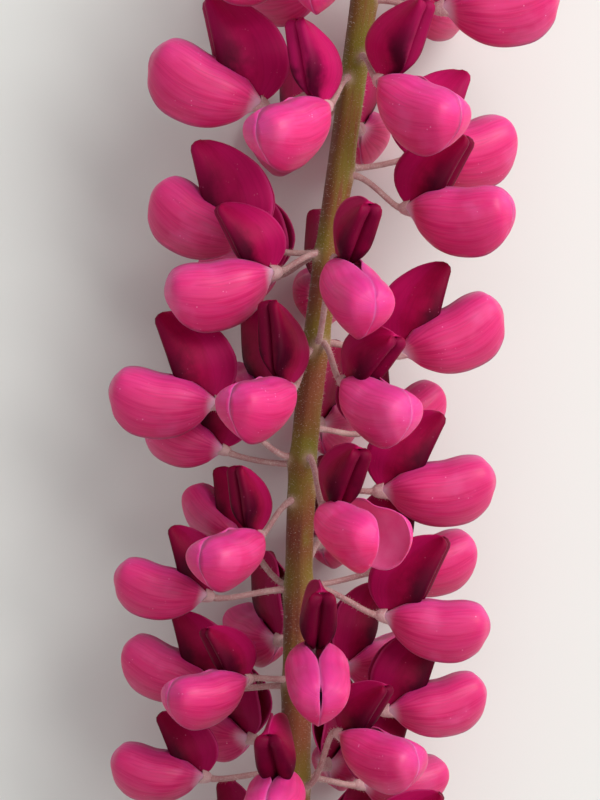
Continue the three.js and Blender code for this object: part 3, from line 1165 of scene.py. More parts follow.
# Each row gives node, at, around, out, heading, pitch, lean, size and banner.
WHORLS: tuple[tuple[Place, ...], ...] = (
    (
        Place(-70, -67, -80, 11.5, -82, -3, 0, 0.9),
        Place(-70, -66, -30, 8.5, -28, -16, 0, 0.9),
        Place(-69, -64, 24, 8.5, 26, -14, 0, 0.9),
        Place(-67, -64, 84, 11.5, 86, -4, 4, 0.92),
        Place(-68, -66, 138, 10, 142, 8, 0, 0.9),
        Place(-69, -66, -142, 10, -144, 8, 0, 0.9),
    ),
    (
        Place(-52, -52.4, -90, 12.4, -92, 12, 13, 0.88, 0.88),
        Place(-54, -50.4, -12, 8.2, -10, -20, 10, 0.93, 1.12),
        Place(-54, -45.6, 48, 8.2, 50, -14, 0, 0.92, 0.8),
        Place(-53, -54, 117, 10, 114, 5, 4, 0.89),
        Place(-55, -52, 158, 11, 158, 6, 0, 0.95),
        Place(-51, -48, -142, 9.8, -138, 10, 0, 0.9),
    ),
    (
        Place(-40, -32.6, 16, 8, 4, -30, -6, 1, 0.98),
        Place(-39, -38.2, -56, 8.2, -55, -9, 0, 0.87, 0.8),
        Place(-40, -39.8, -102, 11.5, -102, 22, 15, 0.93, 0.88),
        Place(-40, -43.3, 98, 12.5, 96, 13, 11, 0.95),
        Place(-39, -37.5, 138, 9.6, 132, 8, 0, 0.9),
        Place(-38, -34, -166, 9.6, -156, 8, 0, 0.97),
    ),
    (
        Place(-14, -18.3, -44, 8, -36, -13, -22, 0.9, 0.83),
        Place(-26, -19.6, -126, 9.2, -124, 36, 22, 0.78),
        Place(-26.5, -27, -85, 12.3, -88, 15, 8, 0.88, 0.88),
        Place(-8, -14.3, 25, 8, 29, -16, 0, 0.99, 0.9),
        Place(-12, -12.2, 84, 10.8, 90, 8, 12, 1.06, 0.92),
        Place(-26, -29.5, 78, 12, 82, -4, 0, 0.98),
        Place(-26, -23.8, 112, 11.6, 102, 14, 0, 0.98),
        Place(-24, -20, 164, 10, 162, 10, 0, 0.95),
    ),
    (
        Place(8, 3, 30, 8.8, 42, -20, 8, 0.93, 0.94),
        Place(8, 7, 86, 11.4, 90, 26, 19, 1.02, 0.98),
        Place(7, 2, -20, 8, -36, -10, -26, 0.92, 0.96),
        Place(-8, 0, -85, 12.5, -88, 10, 8, 1, 1.05),
        Place(-9, -6.8, -110, 11.6, -108, 25, 0, 0.84),
        Place(-4, -4, 126, 10, 112, 26, 0, 0.86),
        Place(-7, -3, 170, 9.4, 166, 8, 0, 0.95),
        Place(0, 1, -152, 11.2, -154, 10, 0, 0.98),
    ),
    (
        Place(8, 19.6, 9, 8.2, 22, -30, -6, 0.98, 0.94),
        Place(20.5, 18.2, -62, 8, -78, -10, -4, 1.03, 0.82),
        Place(20.5, 22.5, -102, 11.3, -97, 31, 23, 1.02, 1.12),
        Place(31.5, 27.2, 78, 10, 67, -2, 7, 1.03, 0.9),
        Place(32.5, 34.5, 108, 9.6, 103, 15, 13, 1.05),
        Place(20, 15.5, 179, 9, -178, 10, 0, 0.97),
        Place(20.5, 18.4, -138, 10.2, -134, 8, 0, 0.93),
    ),
    (
        Place(44.5, 41.5, -84, 12, -84, 26, 17, 1.1, 1.08),
        Place(45, 40.8, -24, 8, -41, -19, -26, 1, 0.9),
        Place(48, 44.4, 27, 8, 47, -25, -22, 1.04, 0.87),
        Place(40, 39.4, 170, 10.2, 174, 6, 0, 0.9),
        Place(42, 38, -152, 11.7, -154, 11, 0, 0.98),
    ),
    (
        Place(56, 55.2, 86, 10.6, 88, 10, 4, 1.09),
        Place(60, 61, -76, 10.8, -52, 0, 2, 1),
        Place(60, 61, -42, 8.4, -12, -14, 0, 0.98),
        Place(64, 66, 30, 8, 36, -6, 0, 0.98),
        Place(59, 57, 144, 9.4, 142, 14, 0, 1),
        Place(61, 59, -140, 9.4, -138, 14, 0, 1),
    ),
)


class WingState(Enum):
    """How the two wings of a flower meet."""

    SHUT = "shut"
    SLIT = "slit"  # shut, but for a slit at the nose that shows the keel
    PARTED = "parted"  # sprung apart from their claws


# The flowers whose wings aren't shut, by node.
WING_STATES: dict[str, WingState] = {"flower_3_1": WingState.SLIT, "flower_4_4": WingState.PARTED}


# ---- The open flower ----


@dataclass(frozen=True)
class Wing:
    """One of the two wings, a swollen petal on a narrow claw. Its margins meet the other wing's.

    Attributes:
        top: its upper margin from claw to nose, forward and up.
        foot: its lower margin, likewise.
        nose: how far the nose stands out between the ends of the two.
        half_width: how far it stands out from the seam.
        along: how that swells from claw to nose.
        across: how it swells from the upper margin to the lower.
        flange: how much the upper margin stands up behind the nose.
        flange_at, flange_reach: where it does so most, and how far from there it does so.
        opening: half the room that the upper margins leave for the banner, from claw to nose.
        claw_gap, claw_end: half the room between the two claws, and where that room ends.
        seam_gap: half the room between the margins.
        thickness: the petal's own.
        depth: the share of the room between the two margins that it has.
        rows, columns: how many faces it has from claw to nose and from margin to margin.
        slit, slit_reach: half the width of a slit at the nose, and how far it runs back.
        parting, rolling: how far a parted wing is turned away and rolled, in degrees.
        flattened: the share of its swelling that a parted wing keeps.
        flange_range, swell_range: how the flange and the swelling vary, as factors.
        ripple_range, ripples: how far its surface ripples, and how many ripples it has, in radians.
    """

    top: Points = (
        (0, -0.2), (1.3, 0.5), (3.2, 1.5), (6, 2.4), (8.8, 2.4), (11.6, 2.7), (13.7, 2.3), (14.8, 1.1),
    )
    foot: Points = (
        (0, -0.9), (1.1, -1.9), (2.4, -4), (4.8, -6), (7.8, -6.95), (11.4, -6.8), (13.9, -5.1), (15, -2.9),
    )
    nose: float = 0.6
    half_width: float = 4.4
    along: Points = (
        (0, 0.06), (0.08, 0.14), (0.2, 0.4), (0.35, 0.78), (0.52, 0.98), (0.7, 0.97), (0.88, 0.72), (1, 0),
    )
    across: Points = ((0, 0), (0.06, 0.46), (0.16, 0.84), (0.34, 1), (0.58, 0.88), (0.84, 0.46), (1, 0))
    flange: float = 0.35
    flange_at: float = 0.36
    flange_reach: float = 0.15
    opening: Points = ((0, 0.5), (0.14, 1.1), (0.28, 1.5), (0.4, 1.2), (0.5, 0.45), (0.6, 0.04), (1, 0))
    claw_gap: float = 0.4
    claw_end: float = 0.3
    seam_gap: float = 0.012
    thickness: float = 0.22
    depth: float = 1.0
    rows: int = 34
    columns: int = 22
    slit: float = 0.17
    slit_reach: float = 0.09
    parting: float = 21.0
    rolling: float = 4.0
    flattened: float = 0.42
    flange_range: Range = (0.6, 1.2)
    swell_range: Range = (0.94, 1.05)
    ripple_range: Range = (0.03, 0.09)
    ripples: float = 7

    def bulge(self, u: np.ndarray, v: np.ndarray, share: float, rng: random.Random) -> np.ndarray:
        """How far the petal stands out from the seam.

        Args:
            u: its places from claw to nose, as a column.
            v: its places from upper to lower margin, as a row.
            share: the share of its swelling that it keeps.
            rng: the flower's own random numbers.

        Returns:
            The distances, as rows x columns.
        """
        flange = self.flange * bell(u - self.flange_at, self.flange_reach) * rng.uniform(*self.flange_range)
        bulge = self.half_width * profile(self.along, u) * profile(self.across, v ** (1 + flange))
        bulge = bulge * rng.uniform(*self.swell_range) * share
        ripple = rng.uniform(*self.ripple_range)
        phase = rng.uniform(0, FULL_TURN)
        return bulge + ripple * np.sin(self.ripples * u + phase) * np.sin(math.pi * v)

    def apart(self, u: np.ndarray, v: np.ndarray, state: WingState) -> np.ndarray:
        """How far the wing's margins and claw are from the seam, as rows x columns.

        Args:
            u, v: places on the wing.
            state: how this wing is.

        Returns:
            The distances.
        """
        apart = self.seam_gap + profile(self.opening, u) * (1 - v) ** 1.5
        apart = apart + self.claw_gap * (1 - smoothstep(0.02, self.claw_end, u)) * v
        if state is WingState.SLIT:
            apart += self.slit * bell(1 - u, self.slit_reach) * (1 - smoothstep(0.1, 0.85, v))
        return apart

    def shape(self, side: int, state: WingState, rng: random.Random) -> Shape:
        """One wing in the flower's own frame, with its outer face outwards.

        Args:
            side: +1 for the wing on the flower's right, and -1 for the other.
            state: how the wings meet.
            rng: the flower's own random numbers.

        Returns:
            The wing, whose pattern runs from claw to nose and from upper to lower margin. Its marks are
            "rim", how far a point is from the petal's edge, and "rise", how high it is on the petal.
        """
        parted = state is WingState.PARTED and side < 0
        u = np.linspace(0, 1, self.rows + 1)[:, None]
        v = np.linspace(0, 1, self.columns + 1)[None, :]
        top, foot = through(self.top, len(u), 0.35), through(self.foot, len(u), 0.35)
        foot = top + (foot - top) * self.depth
        flat = top[:, None] + (foot - top)[:, None] * v[..., None]
        forward, up = flat[..., 0], flat[..., 1]
        forward += self.nose * smoothstep(0.55, 1, u) * 4 * (v * (1 - v))
        out = self.bulge(u, v, self.flattened if parted else 1, rng)
        points = np.dstack([side * (self.apart(u, v, state) + out), forward, up])
        if parted:
            turn = Matrix.Rotation(math.radians(self.parting), 3, "Z")
            turn = turn @ Matrix.Rotation(math.radians(self.rolling), 3, "Y")
            points = points @ np.array(turn).T
        made = sheet(points, grid(u, v))
        chord = np.linalg.norm(foot - top, axis=1)[:, None]
        from_nose = np.linalg.norm(top - top[-1], axis=1)[:, None]
        made.marks = {
            "rim": np.minimum(chord * np.minimum(v, 1 - v), from_nose).ravel(),
            "rise": ((up - up.min()) / (up.max() - up.min())).ravel(),
        }
        return made.flipped() if side > 0 else made


@dataclass(frozen=True)
class Banner:
    """The banner, a broad petal folded back along its midrib, with a rounded ridge on each side of it.

    Attributes:
        ridge: the line along the front of its ridges, from claw to tip, forward and up.
        margin: the line of its margin, likewise.
        width: half its width, from the midrib to the margin.
        depth: how far it has gone from the ridge's line to the margin's, from the midrib to the margin.
        fold: how far behind the ridge's line it lies beside the midrib.
        backward: the way that the fold goes, forward and up.
        swell: how its width changes from claw to tip.
        run_out: how much shallower the fold is at the tip.
        notch, notch_width: how far its tip is notched at the midrib, and how wide the notch is.
        closing: how much of the room between its margins is closed at the tip.
        lip: how far its margin is turned out.
        thickness: the petal's own.
        rows, columns: how many faces it has from claw to tip and from margin to margin.
        crowding: how much closer the columns are at the midrib, as a power.
        spread_range: how the width at the margin varies, as a factor.
        wave_range, waves: how far its margin waves, and how many waves it has, in radians.
        turn_range: how far it is turned about its claw, in degrees.
    """

    ridge: Points = (
        (2.6, -0.5), (4.9, 1.1), (6.1, 3), (7.2, 5.8), (8.4, 8.8), (8.9, 10.1), (8.7, 10.9), (8, 11.4),
    )
    margin: Points = (
        (0.3, -0.2), (-1.1, 1.3), (-2.1, 3.3), (-1.9, 6), (0.2, 9.1), (3.6, 11), (6.4, 11.6), (7.8, 11.5),
    )
    width: Points = (
        (0, 0), (0.05, 0.3), (0.11, 0.9), (0.18, 1.55), (0.26, 2.1),
        (0.36, 2.5), (0.5, 2.6), (0.65, 2.35), (0.82, 1.65), (1, 0.8),
    )
    depth: Points = ((0, 0), (0.26, 0), (0.36, 0.09), (0.6, 0.4), (0.8, 0.69), (1, 1))
    fold: Points = (
        (0, 1.25), (0.05, 0.5), (0.11, 0.1), (0.18, 0), (0.26, 0.14), (0.36, 0.3), (0.6, 0.1), (1, 0),
    )
    backward: tuple[float, float] = (-0.93, 0.36)
    swell: Points = (
        (0, 0.15), (0.12, 0.3), (0.2, 0.45), (0.3, 0.8), (0.42, 1),
        (0.6, 1.02), (0.84, 0.92), (0.94, 0.76), (1, 0.46),
    )
    run_out: float = 0.8
    notch: float = 0.4
    notch_width: float = 0.1
    closing: float = 0.94
    lip: float = 0.3
    thickness: float = 0.2
    rows: int = 22
    columns: int = 44
    crowding: float = 1.25
    spread_range: Range = (0.6, 1.5)
    wave_range: Range = (0.06, 0.2)
    waves: float = 5.5
    turn_range: Range = (-5, 5)

    def shape(self, lean: float, rng: random.Random) -> Shape:
        """The banner in the flower's own frame, with its front outwards.

        Args:
            lean: how far it is bent forwards, in degrees.
            rng: the flower's own random numbers.

        Returns:
            The banner, whose pattern runs across it from margin to margin and then along it.
        """
        w = np.linspace(-1, 1, self.columns + 1)
        w = np.sign(w) * np.abs(w) ** self.crowding
        side, off = np.sign(w), np.abs(w)
        t = np.linspace(0, 1, self.rows + 1)[:, None]
        ridge, margin = through(self.ridge, len(t)), through(self.margin, len(t))
        flat = ridge[:, None] + (margin - ridge)[:, None] * profile(self.depth, off)[None, :, None]
        deep = 1 - self.run_out * smoothstep(0.78, 1, t)
        flat = flat + (profile(self.fold, off) * deep)[..., None] * np.array(self.backward)
        spread = lerp(1, rng.uniform(*self.spread_range), off**3)
        x = side * profile(self.width, off) * spread * profile(self.swell, t)
        x *= 1 - self.closing * smoothstep(0.3, 0.85, t) * off**2
        wave = rng.uniform(*self.wave_range) * np.sin(self.waves * t + rng.uniform(0, FULL_TURN))
        turned_out = (self.lip * np.sin(math.pi * t) + wave) * (1 - smoothstep(0.4, 0.8, t))
        x += side * smoothstep(0.6, 1, off) * turned_out
        z = flat[..., 1] - self.notch * t**5 * bell(off, self.notch_width)
        turn = Matrix.Rotation(math.radians(-lean), 3, "X")
        turn = turn @ Matrix.Rotation(math.radians(rng.uniform(*self.turn_range)), 3, "Z")
        points = np.dstack([x, flat[..., 0], z]) @ np.array(turn).T
        return sheet(points, grid(t, (w + 1) / 2)[..., ::-1])


@dataclass(frozen=True)
class Keel:
    """The keel, a narrow boat that curves up to a beak inside the wings.

    Attributes:
        top, foot: its upper and lower edges from claw to beak, forward and up.
        half_width, fullness: half its width where it is widest and, below 1, how soon it gets there.
        rows, sides: how many faces it has from claw to beak and around.
    """

    top: Points = ((0.8, -0.7), (4, -2.4), (7.5, -3.4), (10.2, -2.6), (12.2, -0.9), (13.4, 0.6))
    foot: Points = ((0.8, -1.4), (3.6, -4.2), (7, -5.7), (10.2, -5), (12.6, -2.4), (13.4, 0.6))
    half_width: float = 0.9
    fullness: float = 0.7
    rows: int = 14
    sides: int = 10

    def shape(self) -> Shape:
        """The keel in the flower's own frame.

        Returns:
            The keel, in millimetres.
        """
        u = np.linspace(0, 1, self.rows + 1)
        turns = ring_angles(self.sides)
        top, foot = through(self.top, len(u)), through(self.foot, len(u))
        middle, half = (top + foot) / 2, (top - foot) / 2
        wide = self.half_width * np.sin(math.pi * np.clip(u * 0.86 + 0.1, 0, 1)) ** self.fullness
        forward = middle[:, :1] + half[:, :1] * np.cos(turns)
        up = middle[:, 1:] + half[:, 1:] * np.cos(turns)
        points = np.dstack([wide[:, None] * np.sin(turns), forward, up])
        return sheet(points, grid(u, turns / FULL_TURN), closed=True).capped(self.sides, [0]).flipped()


@dataclass(frozen=True)
class Calyx:
    """The calyx, a short hairy cup with a notched upper lip and a longer lower one.

    Attributes:
        foot, drop: how far forward its foot is, and how far it is below the petals' start.
        upper, lower, sinus: how long its two lips are, and how long it is between them.
        notch, notch_width: how deep the upper lip's notch is, and how wide, in radians.
        swell: its radius from foot to lip.
        tallness: how much taller it is than wide.
        thickness: its wall's.
        rows, sides: how many faces it has from foot to lip and around.
    """

    foot: float = -0.9
    drop: float = 0.5
    upper: float = 1.75
    lower: float = 2.05
    sinus: float = 1.3
    notch: float = 0.4
    notch_width: float = 0.22
    swell: Points = ((0, 0.4), (0.12, 0.6), (0.4, 0.84), (0.75, 1), (1, 1.1))
    tallness: float = 1.12
    thickness: float = 0.16
    rows: int = 10
    sides: int = 28

    def shape(self) -> Shape:
        """The calyx in the flower's own frame, with its pattern from foot to lip and around.

        Returns:
            The calyx, in millimetres.
        """
        s = np.linspace(0, 1, self.rows + 1)[:, None]
        turns = ring_angles(self.sides)
        upward = np.cos(turns)
        lip = np.where(upward > 0, self.upper, self.lower)
        length = self.sinus + (lip - self.sinus) * np.abs(upward) ** 1.2
        for start in (0, FULL_TURN):
            length -= self.notch * bell(turns - start, self.notch_width)
        radius = profile(self.swell, s)
        points = np.dstack(
            [radius * np.sin(turns), self.foot + s * length, radius * upward * self.tallness - self.drop]
        )
        return sheet(points, grid(s, turns / FULL_TURN), closed=True).capped(self.sides, [0]).flipped()


@dataclass(frozen=True)
class Stalk:
    """A flower's stalk, which leaves the stem square and bends in line with the flower.

    Attributes:
        radius: the stalk's.
        foot_radius, foot_length: what it widens to at the stem, and over what length.
        cup_radius, cup_length: what it widens to at the calyx, and over what length.
        sunk: how far out in the stem it starts, in the stem's radii.
        leaving, arriving: how far it goes straight out of the stem and into the calyx, as shares.
        end: where it ends in the flower's own frame.
        steps, sides: how many faces it has along and around.
    """

    radius: float = 0.42
    foot_radius: float = 0.7
    foot_length: float = 0.8
    cup_radius: float = 0.5
    cup_length: float = 1.5
    sunk: float = 0.75
    leaving: float = 0.32
    arriving: float = 0.24
    end: tuple[float, float, float] = (0, -0.6, -0.45)
    steps: int = 18
    sides: int = 12

    def shape(self, place: Place) -> Shape:
        """The stalk of the flower at a place, in the spike's frame.

        Args:
            place: the flower's.

        Returns:
            The stalk, in millimetres.
        """
        start, end = place.own(LINE.point(place.node, place.around, self.sunk)), np.array(self.end)
        reach = float(np.linalg.norm(start))
        leaving = start + place.axes() @ outward(place.around) * reach * self.leaving
        arriving = np.array([0, -reach * self.arriving, end[2]])
        s = np.linspace(0, 1, self.steps + 1)[:, None]
        weights = (1 - s) ** 3, 3 * s * (1 - s) ** 2, 3 * s * s * (1 - s), s**3
        path = sum(weight * handle for weight, handle in zip(weights, (start, leaving, arriving, end)))
        along = walked(path)
        radii = self.radius + (self.foot_radius - self.radius) * np.exp(-along / self.foot_length)
        near_cup = smoothstep(along[-1] - self.cup_length, along[-1], along)
        radii += (self.cup_radius - self.radius) * near_cup
        skin = tube(path, radii, self.sides)
        return skin.moved(place.placed(skin.points))


@dataclass(frozen=True)
class Flower:
    """One open flower: its petals, its calyx and its stalk.

    Attributes:
        name: its CAD node's.
        place: where it is.
        give: how softly it is pressed flat where it rests.
        wing, banner, keel, calyx, stalk: its parts.
    """

    name: str
    place: Place
    give: float = 0.15
    wing: Wing = Wing()
    banner: Banner = Banner()
    keel: Keel = Keel()
    calyx: Calyx = Calyx()
    stalk: Stalk = Stalk()

    def fitted(self, shape: Shape, share: float = 1.0) -> Shape:
        """A shape of the flower's own frame in the spike's, pressed flat where it rests.

        Args:
            shape: the shape.
            share: its size beside the flower's.

        Returns:
            The shape in its place.
        """
        points = self.place.placed(shape.points, self.place.size * share)
        height = (points[:, 2] + ORIGIN[2]) / self.give
        points[:, 2] = np.logaddexp(0, height) * self.give - ORIGIN[2]
        return shape.moved(points)

    def shade(self, rng: random.Random) -> float:
        """How deep the flower's tone is. The lower on the spike, the deeper it is on average."""
        usual, vary, fading = 0.3, 0.4, 120
        return float(np.clip(vary * rng.random() + usual - self.place.at / fading, -0.2, 1))

    def piece(
        self, part: str, shape: Shape, thickness: float, *finishes: Material, replaced: Sequence[str] = ()
    ) -> None:
        """Makes one thin piece of the flower.

        Args:
            part: the piece's name beside the flower's.
            shape: its outer skin.
            thickness: its wall's, in millimetres.
            finishes: the material of its front and, where it has another, of its back.
            replaced: the CAD nodes that it stands for.
        """
        piece = make(f"{self.name}_{part}", shape.mesh(part), *finishes)
        thicken(piece, thickness)
        dress(piece, part, replaced)

    def build(self, palette: Palette) -> None:
        """Makes the wings, banner and calyx, each a piece of its own.

        Args:
            palette: the materials.
        """
        rng = random.Random(self.name)
        state = WING_STATES.get(self.name, WingState.SHUT)
        shade = self.shade(rng)
        pair = self.wing.shape(1, state, rng).joined(self.wing.shape(-1, state, rng))
        wings = self.fitted(pair.marked("shade", shade))
        banner = self.banner.shape(self.place.lean, rng).marked("shade", shade)
        banner = self.fitted(banner, self.place.banner)
        front, back = palette.wings, palette.wing_back
        self.piece("wings", wings, self.wing.thickness, front, back, replaced=[self.name])
        self.piece("banner", banner, self.banner.thickness, palette.banner, palette.banner_back)
        self.piece("calyx", self.fitted(self.calyx.shape()), self.calyx.thickness, palette.calyx)


@dataclass(frozen=True)
class Whorl:
    """A ring of open flowers at one height of the stem.

    Attributes:
        number: its number from the bottom.
        places: its flowers' places.
        older, slim: how many of the lowest whorls have slimmer wings, and how deep those are.
    """

    number: int
    places: tuple[Place, ...]
    older: int = 4
    slim: float = 0.94

    def flowers(self) -> list[Flower]:
        """The whorl's flowers, named as their CAD nodes are.

        Returns:
            The flowers, in order.
        """
        wing = Wing(depth=self.slim if self.number <= self.older else 1.0)
        name = f"flower_{self.number}"
        return [Flower(f"{name}_{i}", place, wing=wing) for i, place in enumerate(self.places, 1)]

    def build(self, palette: Palette, hairs: "Hairs") -> None:
        """Makes the flowers, and the stalks, keels and hairs of the whole whorl as a piece each.

        Args:
            palette: the materials.
            hairs: what grows on it.
        """
        flowers = self.flowers()
        for flower in flowers:
            flower.build(palette)
        stalks = [flower.stalk.shape(flower.place) for flower in flowers]
        keels = [flower.fitted(flower.keel.shape()) for flower in flowers]
        cups = [flower.fitted(flower.calyx.shape()) for flower in flowers]
        name = f"whorl_{self.number}"
        dress(make(f"{name}_stalks", united(stalks).mesh("stalks"), palette.stalk), "stalk")
        dress(make(f"{name}_keels", united(keels).mesh("keels"), palette.keel), "keel")
        hairs.grow(f"{name}_hairs", united(stalks + cups).mesh("skin"), "stalk", density=5, length=0.45)


# ---- Geometry Nodes ----


class Grower(Graph):
    """A geometry tree that sets copies on or around a mesh, in one finish.

    Attributes:
        given: its inputs' sockets, by name.
    """

    def __init__(self, name: str, **inputs: type) -> None:
        """Starts the tree, which takes a geometry, named numbers and a finish.

        Args:
            name: the tree's name.
            inputs: the kind of each number, by name.
        """
        super().__init__(bpy.data.node_groups.new(name, "GeometryNodeTree"))
        kinds = {float: "NodeSocketFloat", int: "NodeSocketInt"}
        sockets = {"Geometry": "NodeSocketGeometry", "Finish": "NodeSocketMaterial"}
        sockets |= {label: kinds[kind] for label, kind in inputs.items()}
        for label, kind in sockets.items():
            self.tree.interface.new_socket(label, in_out="INPUT", socket_type=kind)
        self.tree.interface.new_socket("Geometry", in_out="OUTPUT", socket_type="NodeSocketGeometry")
        self.given = self.node("NodeGroupInput").outputs

    def end(self, copies: Socket) -> None:
        """Makes the copies real, gives them the finish and puts them out.

        Args:
            copies: the instances.
        """
        real = self.node("GeometryNodeRealizeInstances", {"Geometry": copies}).outputs[0]
        dressed = self.node("GeometryNodeSetMaterial", {"Geometry": real, "Material": self.given["Finish"]})
        self.node("NodeGroupOutput", {"Geometry": dressed.outputs[0]})

    def random(self, low: float, high: float, seed: Value) -> Socket:
        """A random number between two for each point."""
        inputs = {2: low, 3: high, "Seed": seed}
        return self.node("FunctionNodeRandomValue", inputs, data_type="FLOAT").outputs[1]

    def grow(self, source: Mesh, **inputs: object) -> Mesh:
        """What the tree makes of a mesh.

        Args:
            source: the mesh that it starts from.
            inputs: its named inputs, in lower case.

        Returns:
            The result as a plain mesh.
        """
        carrier = bpy.data.objects.new("carrier", source)
        modifier = carrier.modifiers.new("nodes", "NODES")
        modifier.node_group = self.tree
        for item in self.tree.interface.items_tree:
            if item.item_type == "SOCKET" and item.in_out == "INPUT" and item.name.lower() in inputs:
                modifier[item.identifier] = inputs[item.name.lower()]
        bpy.context.scene.collection.objects.link(carrier)
        view = bpy.context.evaluated_depsgraph_get()
        grown = carrier.evaluated_get(view)
        made = bpy.data.meshes.new_from_object(grown, preserve_all_data_layers=True, depsgraph=view)
        carrier.modifiers.remove(modifier)
        bpy.data.objects.remove(carrier)
        return made


@dataclass
class Hairs:
    """Fine tapered hairs that stand on a skin, scattered over its faces.

    Attributes:
        finish: their material.
        radius: of a hair at its foot, in millimetres.
        tilt: how far the hairs lean at random, in degrees.
        length_range: how their length varies, as a factor.
        made: how many pieces have been grown, which seeds the next.
        tree: the geometry tree that scatters them.
    """

    finish: Material
    radius: float = 0.016
    tilt: float = 34
    length_range: Range = (0.55, 1.15)
    made: int = 0
    tree: Grower = field(init=False)

    def __post_init__(self) -> None:
        """Builds the tree."""
        tree = Grower("hairs", Density=float, Length=float, Radius=float, Tilt=float, Seed=int)
        given = tree.given
        spots = tree.node(
            "GeometryNodeDistributePointsOnFaces",
            {"Mesh": given["Geometry"], "Density": given["Density"], "Seed": given["Seed"]},
        )
        sizes = {"Radius Top": 0.0, "Radius Bottom": given["Radius"], "Depth": given["Length"]}
        hair = tree.node("GeometryNodeMeshCone", {"Vertices": 3, **sizes})
        most, least = given["Tilt"], tree.times(given["Tilt"], -1)
        between = {0: tree.vector(least, least), 1: tree.vector(most, most, FULL_TURN)}
        lean = tree.node("FunctionNodeRandomValue", between, data_type="FLOAT_VECTOR").outputs[0]
        turned = tree.node("FunctionNodeEulerToRotation", {0: lean}).outputs[0]
        rotation = tree.node(
            "FunctionNodeRotateRotation",
            {"Rotation": spots.outputs["Rotation"], "Rotate By": turned},
            rotation_space="LOCAL",
        )
        hairs = tree.node(
            "GeometryNodeInstanceOnPoints",
            {
                "Points": spots.outputs["Points"],
                "Instance": hair.outputs["Mesh"],
                "Rotation": rotation.outputs[0],
                "Scale": tree.random(*self.length_range, 7),
            },
        )
        tree.end(hairs.outputs[0])
        self.tree = tree

    def grow(self, name: str, skin: Mesh, slot: str, density: float, length: float) -> None:
        """Makes the hairs of a skin as one piece.

        Args:
            name: the piece's name.
            skin: the mesh that they stand on.
            slot: the skin's material slot name.
            density: hairs to a square millimetre.
            length: a usual hair's, in millimetres.
        """
        self.made += 1
        mesh = self.tree.grow(
            skin,
            density=density / MM**2,
            length=length * MM,
            radius=self.radius * MM,
            tilt=math.radians(self.tilt),
            seed=self.made,
            finish=self.finish,
        )
        dress(make(name, mesh, self.finish), slot)


# ---- The young top ----


@dataclass(frozen=True)
class Bud:
    """A shut flower: petals folded into a beak that curves upwards, in a calyx on a short stalk.

    It lies along +X with its back up, in millimetres from its foot, for a bud of length 1.

    Attributes:
        swell: how thick the petals are from the calyx to the beak.
        half_height, half_width: half the petals' height and width at their thickest.
        rise: how far the beak curves up.
        crease, crease_width: how far the crease along the back stands up, and how wide it is, in radians.
        petals_from: where the petals start.
        cup_from, cup_to: where the calyx starts and ends.
        cup_swell, cup_widen: its thickness from foot to lip, and how much thicker it is than the petals.
        cup_fork: how far it is drawn out above and below.
        stalk_half, stalk_into: half the stalk's thickness, and how far it goes into the calyx.
        rows, sides: how many faces it has along and around.
    """

    swell: Points = ((0, 0.35), (0.2, 0.84), (0.45, 1), (0.7, 0.84), (0.9, 0.46), (1, 0.1))
    half_height: float = 0.175
    half_width: float = 0.135
    rise: float = 0.1
    crease: float = 0.09
    crease_width: float = 0.35
    petals_from: float = 0.3
    cup_from: float = 0.22
    cup_to: float = 0.52
    cup_swell: Points = ((0, 0.2), (0.25, 0.6), (0.6, 0.86), (1, 0.98))
    cup_widen: float = 1.06
    cup_fork: float = 0.12
    stalk_half: float = 0.032
    stalk_into: float = 0.03
    rows: int = 14
    sides: int = 16

    def centre(self, x: Number) -> Number:
        """How high the bud's centre line is at a share of its length."""
        return self.rise * x**2.2

    def skin(self, start: float, end: float, radii: Points, widen: float = 1.0, fork: float = 0.0) -> Shape:
        """A closed skin of the bud's section between two places along it.

        Args:
            start: where it starts.
            end: where it ends.
            radii: its thickness from start to end.
            widen: how much thicker it is than the petals.
            fork: how far its end is drawn out above and below.

        Returns:
            The skin, with its pattern from start to end and around from below.
        """
        s = np.linspace(0, 1, self.rows + 1)[:, None]
        turns = ring_angles(self.sides)
        reach = lerp(start, end, s) + fork * s**3 * (np.cos(turns) ** 2 - 0.5)
        thick = profile(radii, s) * widen
        back = 1 + self.crease * bell(turns - math.pi, self.crease_width)
        side = -self.half_width * thick * back * np.sin(turns)
        up = self.centre(reach) - self.half_height * thick * back * np.cos(turns)
        made = sheet(np.dstack([reach, side, up]), grid(s, turns / FULL_TURN), closed=True)
        return made.capped(self.sides).flipped()

    def petals(self) -> Shape:
        """The folded petals."""
        return self.skin(self.petals_from, 1, self.swell)

    def cup(self) -> Shape:
        """The calyx with the stalk below it.

        Returns:
            Both, for a bud of length 1.
        """
        cup = self.skin(self.cup_from, self.cup_to, self.cup_swell, self.cup_widen, self.cup_fork)
        path = np.array([[x, 0, self.centre(x)] for x in np.linspace(0, self.cup_from + self.stalk_into, 6)])
        return cup.joined(tube(path, np.full(len(path), self.stalk_half), 8))


@dataclass(frozen=True)
class Bract:
    """A slender pointed bract, which overtops the youngest buds. It lies along +X, for a length of 1.

    Attributes:
        half_width, outline: half its width where it is widest, and its share of that from foot to tip.
        thickness: how thick it is beside its width.
        hollow: how far it is curved up in its middle.
        rows, sides: how many faces it has along and around.
    """

    half_width: float = 0.09
    outline: Points = ((0, 0.5), (0.3, 1), (0.7, 0.6), (1, 0.05))
    thickness: float = 0.25
    hollow: float = 0.05
    rows: int = 6
    sides: int = 6

    def shape(self) -> Shape:
        """The bract as a thin closed blade.

        Returns:
            The blade, of length 1.
        """
        s = np.linspace(0, 1, self.rows + 1)[:, None]
        turns = ring_angles(self.sides)
        wide = self.half_width * profile(self.outline, s)
        up = self.thickness * wide * np.cos(turns) + self.hollow * np.sin(math.pi * s)
        points = np.dstack([np.repeat(s, self.sides, axis=1), wide * np.sin(turns), up])
        return sheet(points, grid(s, turns), closed=True).capped(self.sides)


